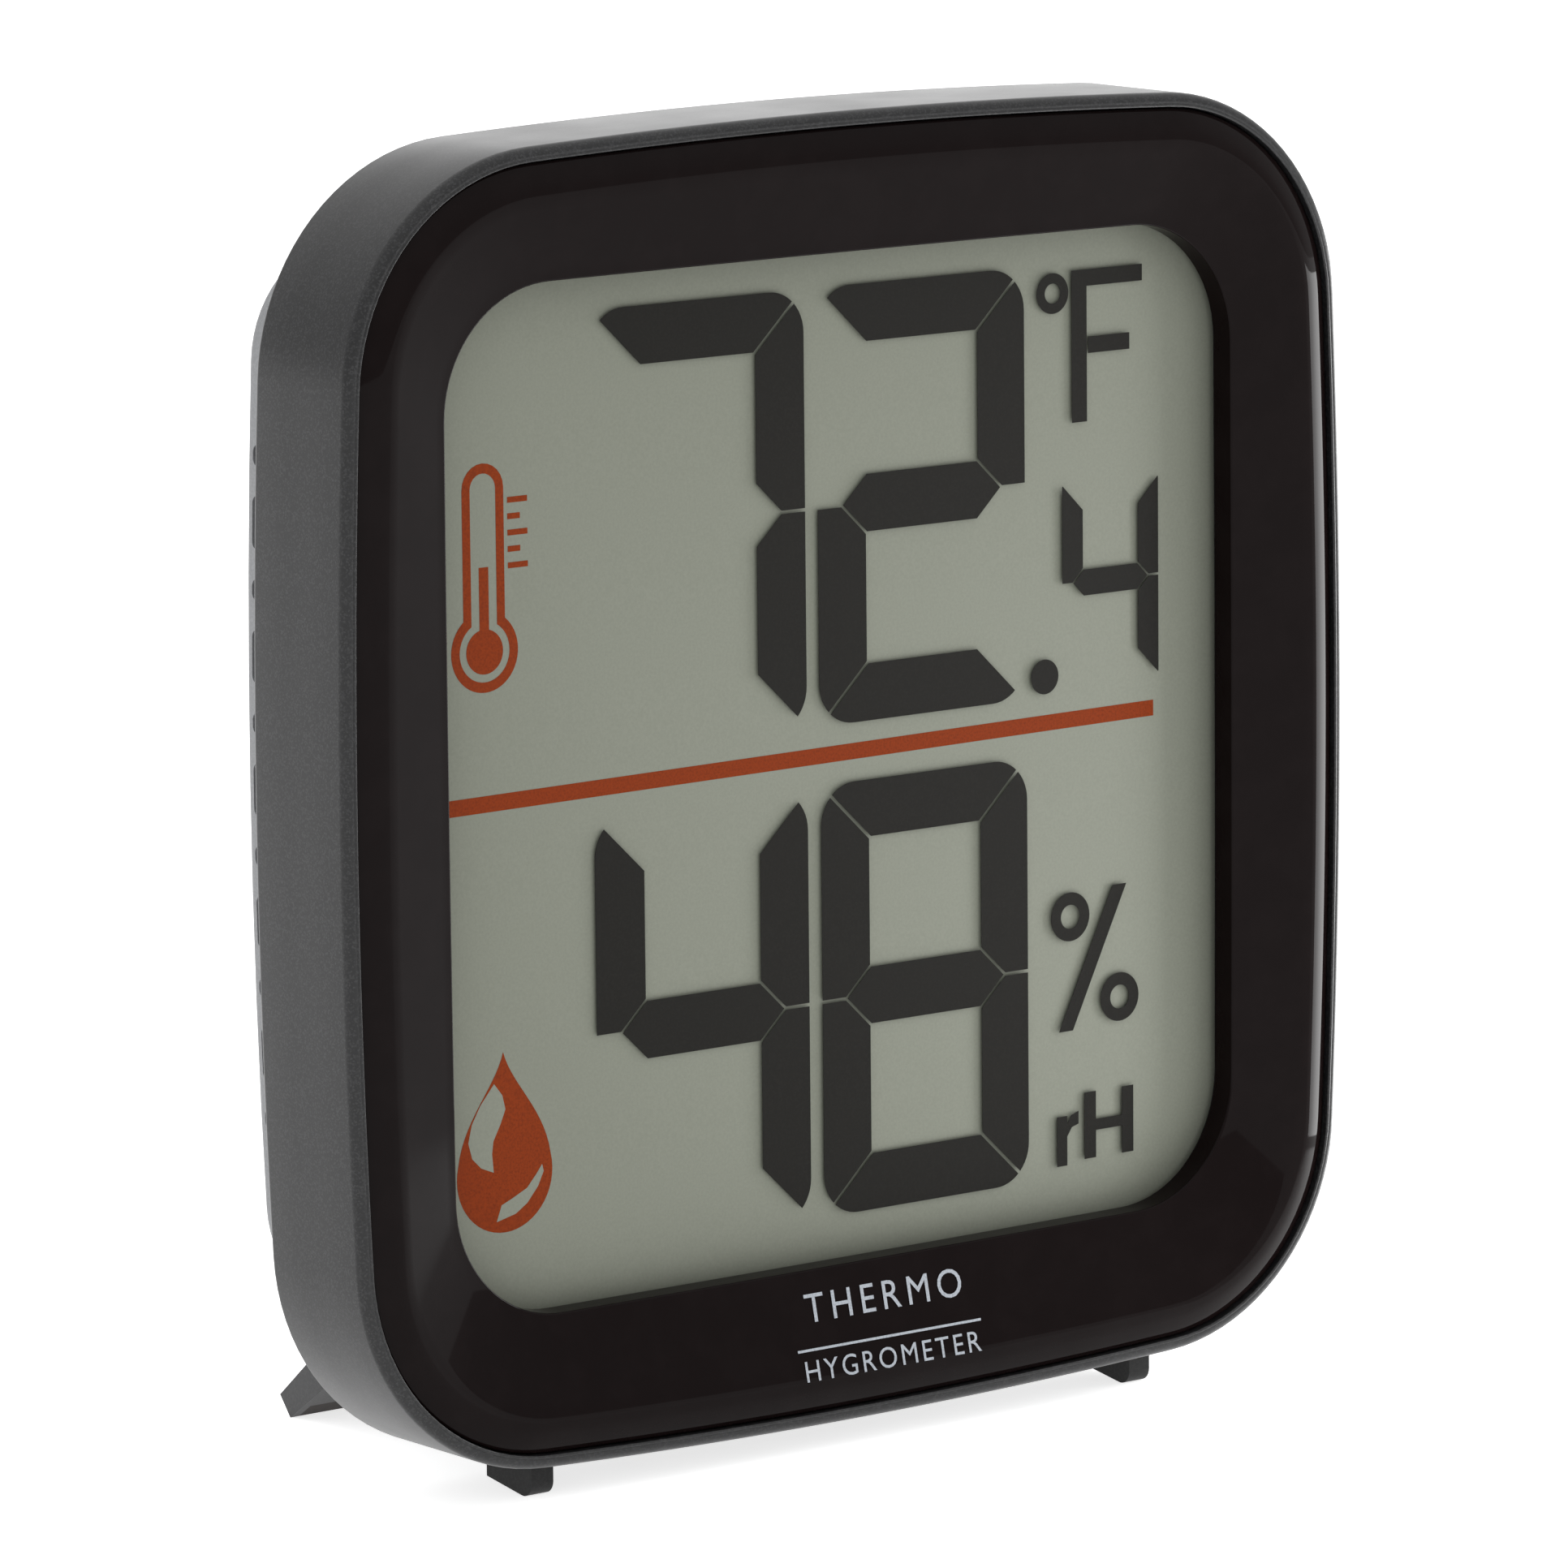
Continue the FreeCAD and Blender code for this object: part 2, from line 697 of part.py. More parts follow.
def make_electronics():
    """Make the small parts that sit on the board and the rubber connector."""
    back = "board_back"
    parts = [block("zebra_connector", "connector_length", "board - rear_glass",
                   "connector_width", "-connector_length / 2", "rear_glass", "connector_low")]
    cover = DOC.addObject("Part::Cone", "chip_cover")
    bind(cover, "Radius1", "chip_radius")
    bind(cover, "Radius2", "chip_radius / 2")
    bind(cover, "Height", "chip_thick")
    cover.Placement = FreeCAD.Placement(
        FreeCAD.Vector(number("chip_across"), number(back), number("chip_height")), REARWARD)
    parts.append(cover)
    parts.append(rod("timing_crystal", "crystal_radius", "crystal_length", "chip_across + 8",
                     "%s + crystal_radius" % back, "chip_height", RIGHTWARD))
    chips = [block("capacitor_%d" % count, "capacitor_length", "capacitor_side", "capacitor_side",
                   "chip_across + chip_radius + %d" % (2 + 3 * count), back, "chip_height - 6")
             for count in range(4)]
    parts.append(group("chip_capacitors", chips))
    legs = [rod("sensor_leg_%d" % count, "leg_radius", "sensor_lift",
                "sensor_across + %d * sensor_width / 3" % count, back, "sensor_height")
            for count in (-1, 0, 1)]
    element = block("sensor_plate", "sensor_width", "sensor_thick", "sensor_length",
                    "sensor_across - sensor_width / 2", "%s + sensor_lift" % back,
                    "sensor_height - leg_radius * 4")
    parts.append(join("humidity_sensor", legs + [element]))
    legs = [rod("thermistor_leg_%d" % side, "leg_radius", "sensor_lift",
                "sensor_across + %d * bead_radius / 2" % side, back, "bead_height")
            for side in (-1, 1)]
    bead = DOC.addObject("Part::Sphere", "thermistor_bead")
    bind(bead, "Radius", "bead_radius")
    bead.Placement.Base = FreeCAD.Vector(number("sensor_across"), number(back + " + sensor_lift"),
                                         number("bead_height"))
    parts.append(join("thermistor", legs + [bead]))
    return parts


def make_button():
    """Make the unit button, and the switch and its plunger below it."""
    back = "board_back"
    switch = new_body("unit_switch")
    sketch = front_sketch(switch, back)
    draw_rectangle(sketch, "-switch_side / 2", "button_height - switch_side / 2",
                   "switch_side / 2", "button_height + switch_side / 2")
    add(switch, sketch, "switch_body")
    top = "(%s + switch_body)" % back
    sketch = front_sketch(switch, top)
    draw_circle(sketch, "0", "button_height", "plunger_radius + plunger_clearance")
    cut(switch, sketch, "2 * plunger_proud", turned=True)
    plunger = rod("switch_plunger", "plunger_radius", "2 * plunger_proud", "0",
                  "%s - plunger_proud" % top, "button_height")
    button = new_body("unit_button")
    stem_end = "(%s + plunger_proud + button_gap)" % top
    flange_front = "(inner_back - button_flange - button_gap)"
    for radius, start, end in (("button_radius", flange_front, "housing_rear + button_proud"),
                               ("button_radius + button_flange", flange_front,
                                flange_front + " + button_flange"),
                               ("plunger_radius", stem_end, flange_front)):
        sketch = front_sketch(button, start)
        draw_circle(sketch, "0", "button_height", radius)
        add(button, sketch, "%s - %s" % (end, start))
    return [switch, plunger, button]


def make_rear_case():
    """Make the rear shell: plate, raised housing, battery bay, stand recess and vents."""
    body = new_body("rear_case")
    sketch = front_sketch(body, "plate_front")
    draw_case_outline(sketch, "ring_wall + fit_gap")
    add(body, sketch, "rear_plate")
    sketch = front_sketch(body, "case_depth")
    draw_case_outline(sketch, "housing_inset")
    add(body, sketch, "housing_rear - case_depth")
    round_edges(body, "housing_rounding", lies_at_depth(number("housing_rear")))

    inner_top = "(case_height / 2 - housing_inner)"
    inner_low = "(cell_height - bay_tall - bay_wall / 2)"
    sketch = front_sketch(body, "plate_front")
    draw_bowed(sketch, "inner_half", "(%s - %s) / 2" % (inner_top, inner_low),
               "corner_radius - housing_inner", "side_bow",
               "(%s + %s) / 2" % (inner_top, inner_low))
    cut(body, sketch, "inner_back - plate_front")
    sketch = front_sketch(body, "plate_front")
    draw_case_outline(sketch, "housing_inner")
    cut(body, sketch, "hinge_floor - housing_back - plate_front")
    sketch = front_sketch(body, "plate_front")
    for left, right in both_sides("recess_half + recess_wall", "inner_half - screen_thick"):
        draw_rectangle(sketch, left, "-screen_half - 4 * screen_gap", right, "cell_height")
    cut(body, sketch, "inner_back - plate_front")

    sketch = front_sketch(body, "bay_front - bay_floor")
    draw_rectangle(sketch, "-bay_half - bay_wall", "cell_height - bay_tall - bay_wall",
                   "bay_half + bay_wall", "cell_height + bay_tall + bay_wall")
    add(body, sketch, "inner_back - bay_front + bay_floor")
    sketch = front_sketch(body, "housing_rear")
    draw_rectangle(sketch, "-bay_half", "cell_height - bay_tall", "bay_half",
                   "cell_height + bay_tall")
    cut(body, sketch, "housing_rear - bay_front", turned=True)
    sketch = front_sketch(body, "housing_rear")
    draw_rectangle(sketch, "-door_wide", "cell_height - door_tall", "door_wide",
                   "cell_height + door_tall")
    cut(body, sketch, "housing_back", turned=True)
    sketch = side_sketch(body, "0")
    draw_circle(sketch, "door_axis_depth", "door_axis_height", "door_pin_radius + pin_clearance")
    cut(body, sketch, "2 * (door_wide + door_pin_length)", both_ways=True)

    outside = "housing_rear + 1"
    below = "-case_height / 2"
    sketch = side_sketch(body, "0")
    draw_polygon(sketch, (("recess_floor", "recess_top"), (outside, "recess_top"),
                          (outside, below), ("hinge_floor", below),
                          ("hinge_floor", "hinge_top"), ("recess_floor", "hinge_top")))
    cut(body, sketch, "2 * recess_half", both_ways=True)
    for right in ("-pin_start", "pin_start + pin_length"):
        sketch = side_sketch(body, right)
        draw_circle(sketch, "stand_axis_depth", "stand_axis_height", "pin_radius")
        cut(body, sketch, "pin_length")

    sketch = front_sketch(body, "inner_back")
    for left, right in both_sides("inner_half - vent_channel", "inner_half"):
        draw_rectangle(sketch, left, "-2.6 * vent_pitch", right, "2.6 * vent_pitch")
    cut(body, sketch, "vent_end - inner_back")
    for side in (-1, 1):
        sketch = side_sketch(body, "%d * (case_width / 2 - housing_inset + 1)" % side)
        for step in range(-5, 6):
            length = "vent_short" if step % 2 else "vent_long"
            draw_slot(sketch, "vent_depth", "%d * vent_pitch / 2" % step, "vent_width / 2", length)
        cut(body, sketch, "housing_wall + vent_channel", turned=side < 0)

    for side in (-1, 1):
        sketch = front_sketch(body, "inner_back - magnet_thick")
        draw_circle(sketch, "%d * magnet_place" % side, "magnet_height",
                    "magnet_radius + magnet_gap + magnet_wall")
        add(body, sketch, "magnet_thick")
        sketch = front_sketch(body, "inner_back - magnet_thick")
        draw_circle(sketch, "%d * magnet_place" % side, "magnet_height",
                    "magnet_radius + magnet_gap")
        cut(body, sketch, "magnet_thick")

    sketch = front_sketch(body, "housing_rear")
    draw_circle(sketch, "0", "button_height", "button_radius + button_gap")
    draw_circle(sketch, "0", "hanger_height", "hanger_head")
    cut(body, sketch, "housing_back", turned=True)
    sketch = front_sketch(body, "housing_rear")
    draw_slot(sketch, "0", "hanger_height + hanger_rise / 2", "hanger_neck",
              "hanger_rise + 2 * hanger_neck")
    cut(body, sketch, "housing_back", turned=True)

    for radius, start, length in (("screw_hole", "plate_front", "rear_plate"),
                                  ("screw_head_radius + fit_gap",
                                   "case_depth - screw_head_thick - screw_sink", "rear_plate")):
        sketch = front_sketch(body, start)
        for across, height in CASE_SCREWS:
            draw_circle(sketch, across, height, radius)
        cut(body, sketch, length)
    sketch = front_sketch(body, "plate_front")
    for across, height in BOARD_SCREWS:
        draw_circle(sketch, across, height, "screw_head_radius + 2 * fit_gap")
    cut(body, sketch, "screw_head_thick + fit_gap")
    return body


def make_door():
    """Make the battery door: a plate with a round lower edge, stub pins and a thumb groove."""
    body = new_body("battery_door")
    sketch = side_sketch(body, "0")
    radius = number("door_thick") / 2.0
    depth, height = number("door_axis_depth"), number("door_axis_height")
    top = "cell_height + door_tall - fit_gap"
    high = number(top)
    places = [FreeCAD.Vector(depth + radius, height, 0), FreeCAD.Vector(depth + radius, high, 0),
              FreeCAD.Vector(depth - radius, high, 0), FreeCAD.Vector(depth - radius, height, 0)]
    sketch.addGeometry([Part.LineSegment(places[step], places[step + 1]) for step in range(3)],
                       False)
    centre = FreeCAD.Vector(depth, height, 0)
    sketch.addGeometry(Part.ArcOfCircle(Part.Circle(centre, FreeCAD.Vector(0, 0, 1), radius),
                                        math.pi, 2 * math.pi), False)
    sketch.addConstraint([Sketcher.Constraint("Coincident", 0, 2, 1, 1),
                          Sketcher.Constraint("Coincident", 1, 2, 2, 1),
                          Sketcher.Constraint("Tangent", 2, 2, 3, 1),
                          Sketcher.Constraint("Tangent", 3, 2, 0, 1),
                          Sketcher.Constraint("Vertical", 0),
                          Sketcher.Constraint("Horizontal", 1)])
    hold(sketch, "Radius", "door_thick / 2", 3)
    hold_point(sketch, 3, 3, "door_axis_depth", "door_axis_height")
    hold(sketch, "DistanceY", top, -1, 1, 1, 1)
    add(body, sketch, "2 * (door_wide - fit_gap)", both_ways=True)
    sketch = side_sketch(body, "0")
    draw_circle(sketch, "door_axis_depth", "door_axis_height", "door_pin_radius")
    add(body, sketch, "2 * (door_wide + door_pin_length - fit_gap)", both_ways=True)
    sketch = front_sketch(body, "housing_rear")
    for step in range(3):
        low = "cell_height + bay_tall - groove_pitch * %d" % (step + 1)
        draw_rectangle(sketch, "-groove_length / 2", low, "groove_length / 2",
                       "%s + groove_pitch / 2" % low)
    cut(body, sketch, "groove_depth", turned=True)
    return body


def make_battery():
    """Make the AAA cell and its two contacts, with the spring on the left."""
    cell_top = "cell_length - nub_length"
    can = rod("cell_can", "cell_radius", cell_top, "cell_left", "cell_depth", "cell_height",
              RIGHTWARD)
    nub = rod("cell_nub", "nub_radius", "cell_length", "cell_left", "cell_depth", "cell_height",
              RIGHTWARD)
    cell = join("battery_cell", [can, nub])
    plate = block("contact_plate", "contact_thick", "1.6 * cell_radius", "1.6 * cell_radius",
                  "bay_half - contact_thick", "cell_depth - 0.8 * cell_radius",
                  "cell_height - 0.8 * cell_radius")
    dimple = DOC.addObject("Part::Cone", "contact_dimple")
    bind(dimple, "Radius1", "nub_radius")
    bind(dimple, "Radius2", "nub_radius * 1.6")
    bind(dimple, "Height", "contact_room - contact_thick - spring_gap")
    dimple.Placement = FreeCAD.Placement(
        FreeCAD.Vector(number("bay_half - contact_room + spring_gap"), number("cell_depth"),
                       number("cell_height")), RIGHTWARD)
    contact = join("battery_contact", [plate, dimple])
    helix = DOC.addObject("Part::Helix", "spring_line")
    bind(helix, "Height", "spring_room - spring_wire - 2 * spring_gap")
    bind(helix, "Pitch", "(spring_room - spring_wire - 2 * spring_gap) / spring_turns")
    bind(helix, "Radius", "spring_radius")
    section = DOC.addObject("Part::Circle", "spring_section")
    bind(section, "Radius", "spring_wire / 2")
    section.Placement = FreeCAD.Placement(
        FreeCAD.Vector(number("spring_radius"), 0, 0),
        FreeCAD.Rotation(FreeCAD.Vector(1, 0, 0), 90))
    spring = DOC.addObject("Part::Sweep", "battery_spring")
    spring.Sections = [section]
    spring.Spine = (helix, [])
    spring.Solid = True
    spring.Frenet = True
    spring.Placement = FreeCAD.Placement(
        FreeCAD.Vector(number("spring_gap + spring_wire / 2 - bay_half"),
                       number("cell_depth"), number("cell_height")), RIGHTWARD)
    return [cell, contact, spring]


def grip_profile():
    """Return the section of the grip strip, sunk in the stand's tapered face at its tip."""
    near = "(stand_reach - grip_width)"
    slope = "(stand_outer - stand_tip) / (stand_reach - stand_taper)"
    near_out = "(stand_tip + grip_width * %s)" % slope
    return [stand_point(near, near_out + " - grip_thick"),
            stand_point("stand_reach", "stand_tip - grip_thick"),
            stand_point("stand_reach", "stand_tip"), stand_point(near, near_out)]


def make_stand():
    """Make the opened stand: a tapered bar with a round edge on its pins, and its grip strip."""
    body = new_body("stand")
    sketch = side_sketch(body, "0")
    draw_polygon(sketch, [stand_point("0", "-stand_inner"),
                          stand_point("stand_reach", "-stand_inner"),
                          stand_point("stand_reach", "stand_tip"),
                          stand_point("stand_taper", "stand_outer"),
                          stand_point("0", "stand_outer")])
    add(body, sketch, "stand_width", both_ways=True)
    sketch = side_sketch(body, "0")
    draw_circle(sketch, "stand_axis_depth", "stand_axis_height", "barrel_radius")
    add(body, sketch, "stand_width", both_ways=True)
    bore = "pin_sunk + fit_gap"
    for right in ("%s - stand_width / 2" % bore, "stand_width / 2"):
        sketch = side_sketch(body, right)
        draw_circle(sketch, "stand_axis_depth", "stand_axis_height", "pin_radius + pin_clearance")
        cut(body, sketch, bore)
    grip = new_body("stand_grip")
    for part, step in ((body, cut), (grip, add)):
        sketch = side_sketch(part, "0")
        draw_polygon(sketch, grip_profile())
        step(part, sketch, "stand_width - 2 * grip_margin", both_ways=True)
    pins = [rod("stand_pin_" + name, "pin_radius", "pin_length", left, "stand_axis_depth",
                "stand_axis_height", RIGHTWARD)
            for name, left in (("left", "-pin_start - pin_length"), ("right", "pin_start"))]
    return [body, grip] + pins


def make_feet():
    """Make the two wedge feet, each pressed into a slot, with a round tip on the table."""
    feet = []
    for side, name in ((-1, "foot_left"), (1, "foot_right")):
        body = new_body(name)
        sketch = side_sketch(body, "%d * foot_place - foot_width / 2" % side)
        top = "foot_root - case_height / 2"
        rear = "foot_front + foot_length"
        draw_polygon(sketch, (("foot_front", top), ("foot_front", "foot_low"),
                              (rear, "foot_low + foot_length * foot_slope"), (rear, top)))
        add(body, sketch, "foot_width")
        low = number("foot_low")
        round_edges(body, "foot_tip_radius", lambda edge: edge.BoundBox.ZMax < low + 1e-6)
        feet.append(body)
    return feet


def make_magnets_and_screens():
    """Make the magnets behind the rear wall and the dust screens behind the vents."""
    parts = []
    for side, name in ((-1, "left"), (1, "right")):
        parts.append(rod("magnet_" + name, "magnet_radius", "magnet_thick",
                         "%d * magnet_place" % side, "inner_back - magnet_thick",
                         "magnet_height"))
        outer = "(inner_half - screen_gap)"
        left = outer + " - screen_thick" if side > 0 else "-" + outer
        parts.append(block("vent_screen_" + name, "screen_thick", "screen_depth",
                           "2 * screen_half", left, "housing_rear - vent_skin - screen_depth",
                           "-screen_half"))
    return parts


# ---------------------------------------------------------------- put together and written

def check(items):
    """Stop if any object failed or any sub-part's shape is missing or broken."""
    for item in DOC.Objects:
        if "Invalid" in item.State or "Error" in item.State:
            raise RuntimeError("%s is in state %s" % (item.Name, item.State))
    for item in items:
        if item.Shape.isNull() or not item.Shape.isValid() or not item.Shape.Solids:
            raise RuntimeError("%s has no good shape" % item.Label)


def table_placement(parts):
    """Return the placement that leans the parts back, stands them on the table and centres them."""
    angle = number("lean_angle")
    lean = FreeCAD.Rotation(FreeCAD.Vector(1, 0, 0), -angle)
    lift = -number("table_height") * math.cos(math.radians(angle))
    leaning = FreeCAD.Placement(FreeCAD.Vector(0, 0, lift), lean)
    boxes = []
    for part in parts:
        shape = part.Shape.copy()
        shape.Placement = leaning.multiply(shape.Placement)
        boxes.append(shape.optimalBoundingBox())
    middle = (min(box.YMin for box in boxes) + max(box.YMax for box in boxes)) / 2.0
    return FreeCAD.Placement(FreeCAD.Vector(0, -middle, lift), lean)


def main():
    """Build every sub-part, lean them all on the stand and write them."""
    parts = [make_front_case(), make_bezel()]
    parts += make_display()
    parts += [make_holder(), make_board()]
    parts += make_electronics()
    parts += make_button()
    parts.append(make_rear_case())
    parts.append(make_door())
    parts += make_battery()
    parts += make_stand()
    parts += make_feet()
    parts += make_magnets_and_screens()
    parts.append(make_screws("case_screws", CASE_SCREWS, "case_depth - screw_head_thick - screw_sink",
                             "case_screw_length"))
    parts.append(make_screws("board_screws", BOARD_SCREWS, "board_back", "board_screw_length"))
    DOC.recompute()
    standing = table_placement(parts)
    for part in parts:
        part.Placement = standing.multiply(part.Placement)
    DOC.recompute()
    check(parts)
    os.makedirs("parts", exist_ok=True)
    for part in parts:
        part.Shape.exportStep(os.path.join("parts", part.Label + ".step"))
        print("%-20s %8.1f mm3  %d solid(s)" % (part.Label, part.Shape.Volume,
                                               len(part.Shape.Solids)))
    print("case frame's origin stands at", standing.Base)
    print("stand reach %.3f, cell at %.3f" % (number("stand_reach"), number("cell_height")))


main()
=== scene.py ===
"""Looks of a desktop thermo-hygrometer with a flip-out stand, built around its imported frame."""

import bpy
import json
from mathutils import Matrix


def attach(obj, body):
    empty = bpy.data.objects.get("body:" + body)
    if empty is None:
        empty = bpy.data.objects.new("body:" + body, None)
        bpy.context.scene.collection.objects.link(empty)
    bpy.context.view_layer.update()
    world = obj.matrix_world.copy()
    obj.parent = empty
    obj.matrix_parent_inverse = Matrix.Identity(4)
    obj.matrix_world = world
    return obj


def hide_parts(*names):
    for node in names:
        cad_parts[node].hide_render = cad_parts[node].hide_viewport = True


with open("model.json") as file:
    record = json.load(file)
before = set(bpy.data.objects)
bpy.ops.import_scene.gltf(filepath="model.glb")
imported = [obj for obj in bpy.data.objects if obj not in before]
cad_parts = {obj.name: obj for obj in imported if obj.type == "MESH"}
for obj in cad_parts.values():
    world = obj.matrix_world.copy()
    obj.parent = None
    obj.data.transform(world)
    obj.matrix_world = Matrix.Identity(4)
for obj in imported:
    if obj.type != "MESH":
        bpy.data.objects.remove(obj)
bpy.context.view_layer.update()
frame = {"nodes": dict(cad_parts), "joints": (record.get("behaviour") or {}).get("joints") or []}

import json
import logging
import math
from dataclasses import dataclass
from enum import Enum

import bpy
from bpy.types import Material, Node, NodeSocket, NodeTree, Object, Scene
from mathutils import Matrix, Vector

logging.basicConfig(level=logging.INFO, format="%(message)s")
LOG = logging.getLogger("thermo_hygrometer")

MM = 0.001
WHITE = (1.0, 1.0, 1.0, 1.0)
RIGHT_ANGLE = 90.0
# The sRGB curve: its straight toe, then its offset power.
SRGB_TOE, SRGB_TOE_SLOPE = 0.04045, 12.92
SRGB_OFFSET, SRGB_SCALE, SRGB_POWER = 0.055, 1.055, 2.4
# What the finishes share.
WAVE_TURN, WAVE_DISTORTION = 6.28, 0.3
BUMP_STRENGTH = 0.6
COAT_ROUGHNESS = 0.05
ROUGHNESS_SWING = 0.06
Point2 = tuple[float, float]
Outline = list[Point2]


# ---- colour, nodes

def linear(hex_colour: str) -> tuple[float, float, float, float]:
    """Turn an sRGB hex colour to linear.

    Args:
        hex_colour: Six hex digits.

    Returns:
        Linear red, green, blue and an alpha of one.
    """
    channels = [int(hex_colour[start:start + 2], 16) / 255.0 for start in (0, 2, 4)]
    red, green, blue = (value / SRGB_TOE_SLOPE if value <= SRGB_TOE
                        else ((value + SRGB_OFFSET) / SRGB_SCALE) ** SRGB_POWER
                        for value in channels)
    return red, green, blue, 1.0


def add_node(tree: NodeTree, kind: str, links: dict | None = None,
             **settings) -> Node:
    """Add a node with its settings and links.

    Args:
        tree: The node tree that it goes in.
        kind: The node's Blender type name.
        links: Input name or number to an output socket or a plain value.
        **settings: Properties of the node itself.

    Returns:
        The new node.
    """
    node = tree.nodes.new(kind)
    for name, value in settings.items():
        setattr(node, name, value)
    for name, value in (links or {}).items():
        if isinstance(value, NodeSocket):
            tree.links.new(value, node.inputs[name])
        else:
            node.inputs[name].default_value = value
    return node


class Grain(Enum):
    """How the fine pattern of a finish is made."""

    CLOUD = "cloud"
    CELLS = "cells"
    THREADS = "threads"


@dataclass(frozen=True)
class Finish:
    """One surface finish: a body colour, a fine pattern of a second colour and a relief."""

    name: str
    colour: str
    fleck: str
    roughness: float
    grain_mm: float
    relief_mm: float
    grain: Grain = Grain.CLOUD
    fleck_from: float = 0.45
    fleck_to: float = 0.62
    metallic: float = 0.0
    specular: float = 0.5
    ior: float = 1.5
    coat: float = 0.0
    sheen: float = 0.0
    clear: float = 0.0
    blotch_mm: float = 0.0
    blotch_depth: float = 0.0
    glow: float = 0.0

    def pattern(self, tree: NodeTree) -> NodeSocket:
        """Make the fine pattern.

        Args:
            tree: The material's node tree.

        Returns:
            A socket that runs from nought to one over the surface.
        """
        place = add_node(tree, "ShaderNodeTexCoord").outputs["Object"]
        scale = 1.0 / (self.grain_mm * MM)
        if self.grain is Grain.CELLS:
            cells = add_node(tree, "ShaderNodeTexVoronoi", {"Vector": place, "Scale": scale})
            return add_node(tree, "ShaderNodeSeparateColor",
                            {"Color": cells.outputs["Color"]}).outputs["Red"]
        if self.grain is Grain.THREADS:
            across, upright = (
                add_node(tree, "ShaderNodeTexWave", {"Vector": place, "Scale": scale / WAVE_TURN,
                                                     "Distortion": WAVE_DISTORTION},
                         bands_direction=way).outputs["Fac"] for way in "YZ")
            return add_node(tree, "ShaderNodeMath", {0: across, 1: upright},
                            operation="MULTIPLY").outputs["Value"]
        cloud = add_node(tree, "ShaderNodeTexNoise", {"Vector": place, "Scale": scale,
                                                      "Detail": 4.0, "Roughness": 0.6})
        return cloud.outputs["Fac"]

    def tint(self, tree: NodeTree, pattern: NodeSocket) -> NodeSocket:
        """Mix the body's colour and the fleck's.

        Args:
            tree: The material's node tree.
            pattern: The fine pattern.

        Returns:
            The socket of the mixed colour.
        """
        step = add_node(tree, "ShaderNodeMapRange", {"Value": pattern, "From Min": self.fleck_from,
                                                     "From Max": self.fleck_to})
        mixed = add_node(tree, "ShaderNodeMix", {"Factor": step.outputs["Result"],
                                                 "A": linear(self.colour),
                                                 "B": linear(self.fleck)}, data_type="RGBA")
        return next(socket for socket in mixed.outputs if socket.type == "RGBA")

    def blotched(self, tree: NodeTree, colour: NodeSocket,
                 roughness: NodeSocket) -> NodeSocket:
        """Vary the colour and the roughness in broad soft blotches.

        Args:
            tree: The material's node tree.
            colour: The even colour.
            roughness: The shader's roughness input.

        Returns:
            The socket of the varied colour.
        """
        place = add_node(tree, "ShaderNodeTexCoord").outputs["Object"]
        blotch = add_node(tree, "ShaderNodeTexNoise",
                          {"Vector": place, "Scale": 1.0 / (self.blotch_mm * MM),
                           "Detail": 3.0}).outputs["Fac"]
        shade = add_node(tree, "ShaderNodeMapRange",
                         {"Value": blotch, "From Min": 0.3, "From Max": 0.7,
                          "To Min": 1.0 - self.blotch_depth, "To Max": 1.0 + self.blotch_depth})
        rough = add_node(tree, "ShaderNodeMapRange",
                         {"Value": blotch, "To Min": max(0.0, self.roughness - ROUGHNESS_SWING),
                          "To Max": self.roughness + ROUGHNESS_SWING})
        tree.links.new(rough.outputs["Result"], roughness)
        return add_node(tree, "ShaderNodeVectorMath", {0: colour, 1: shade.outputs["Result"]},
                        operation="MULTIPLY").outputs["Vector"]

    def material(self) -> Material:
        """Build the material once and hand out the same one afterwards.

        Returns:
            The finished material.
        """
        if self.name in bpy.data.materials:
            return bpy.data.materials[self.name]
        made = bpy.data.materials.new(self.name)
        made.use_nodes = True
        tree = made.node_tree
        shader = tree.nodes["Principled BSDF"]
        pattern = self.pattern(tree)
        colour = self.tint(tree, pattern)
        values = {"Metallic": self.metallic, "Specular IOR Level": self.specular,
                  "Coat Weight": self.coat, "Coat Roughness": COAT_ROUGHNESS,
                  "Sheen Weight": self.sheen, "Transmission Weight": self.clear}
        if self.blotch_mm:
            colour = self.blotched(tree, colour, shader.inputs["Roughness"])
        else:
            values["Roughness"] = self.roughness
        if not self.metallic:
            values["IOR"] = self.ior
        if self.glow:
            values |= {"Emission Color": WHITE, "Emission Strength": self.glow}
        for name, value in values.items():
            shader.inputs[name].default_value = value
        tree.links.new(colour, shader.inputs["Base Color"])
        if self.relief_mm:
            bump = add_node(tree, "ShaderNodeBump", {"Height": pattern, "Strength": BUMP_STRENGTH,
                                                     "Distance": self.relief_mm * MM})
            tree.links.new(bump.outputs["Normal"], shader.inputs["Normal"])
        return made


# Metallic basecoat on ABS under a satin lacquer: dark grey with a fine sparkle of flakes. Real
# flakes of 0.03 mm are too fine to show, so they are drawn at 0.09 mm.
CASE_PAINT = Finish("satin_metallic_lacquer", "171718", "2C2C2D", 0.32, 0.09, 0.0006, Grain.CELLS,
                    0.55, 1.0, metallic=0.15, specular=0.36, blotch_mm=6.0, blotch_depth=0.05)
# Piano-black ABS from a polished mould: near mirror gloss with the faintest orange peel.
PIANO_BLACK = Finish("piano_black_abs", "0E0808", "100A0A", 0.04, 2.5, 0.0003, specular=0.06)
# Anti-glare film over the liquid crystal and its grey-green reflector: fine even tooth.
DISPLAY_FILM = Finish("anti_glare_film", "717469", "76796E", 0.55, 0.16, 0.0, Grain.CLOUD, 0.35,
                      0.65, specular=0.15)
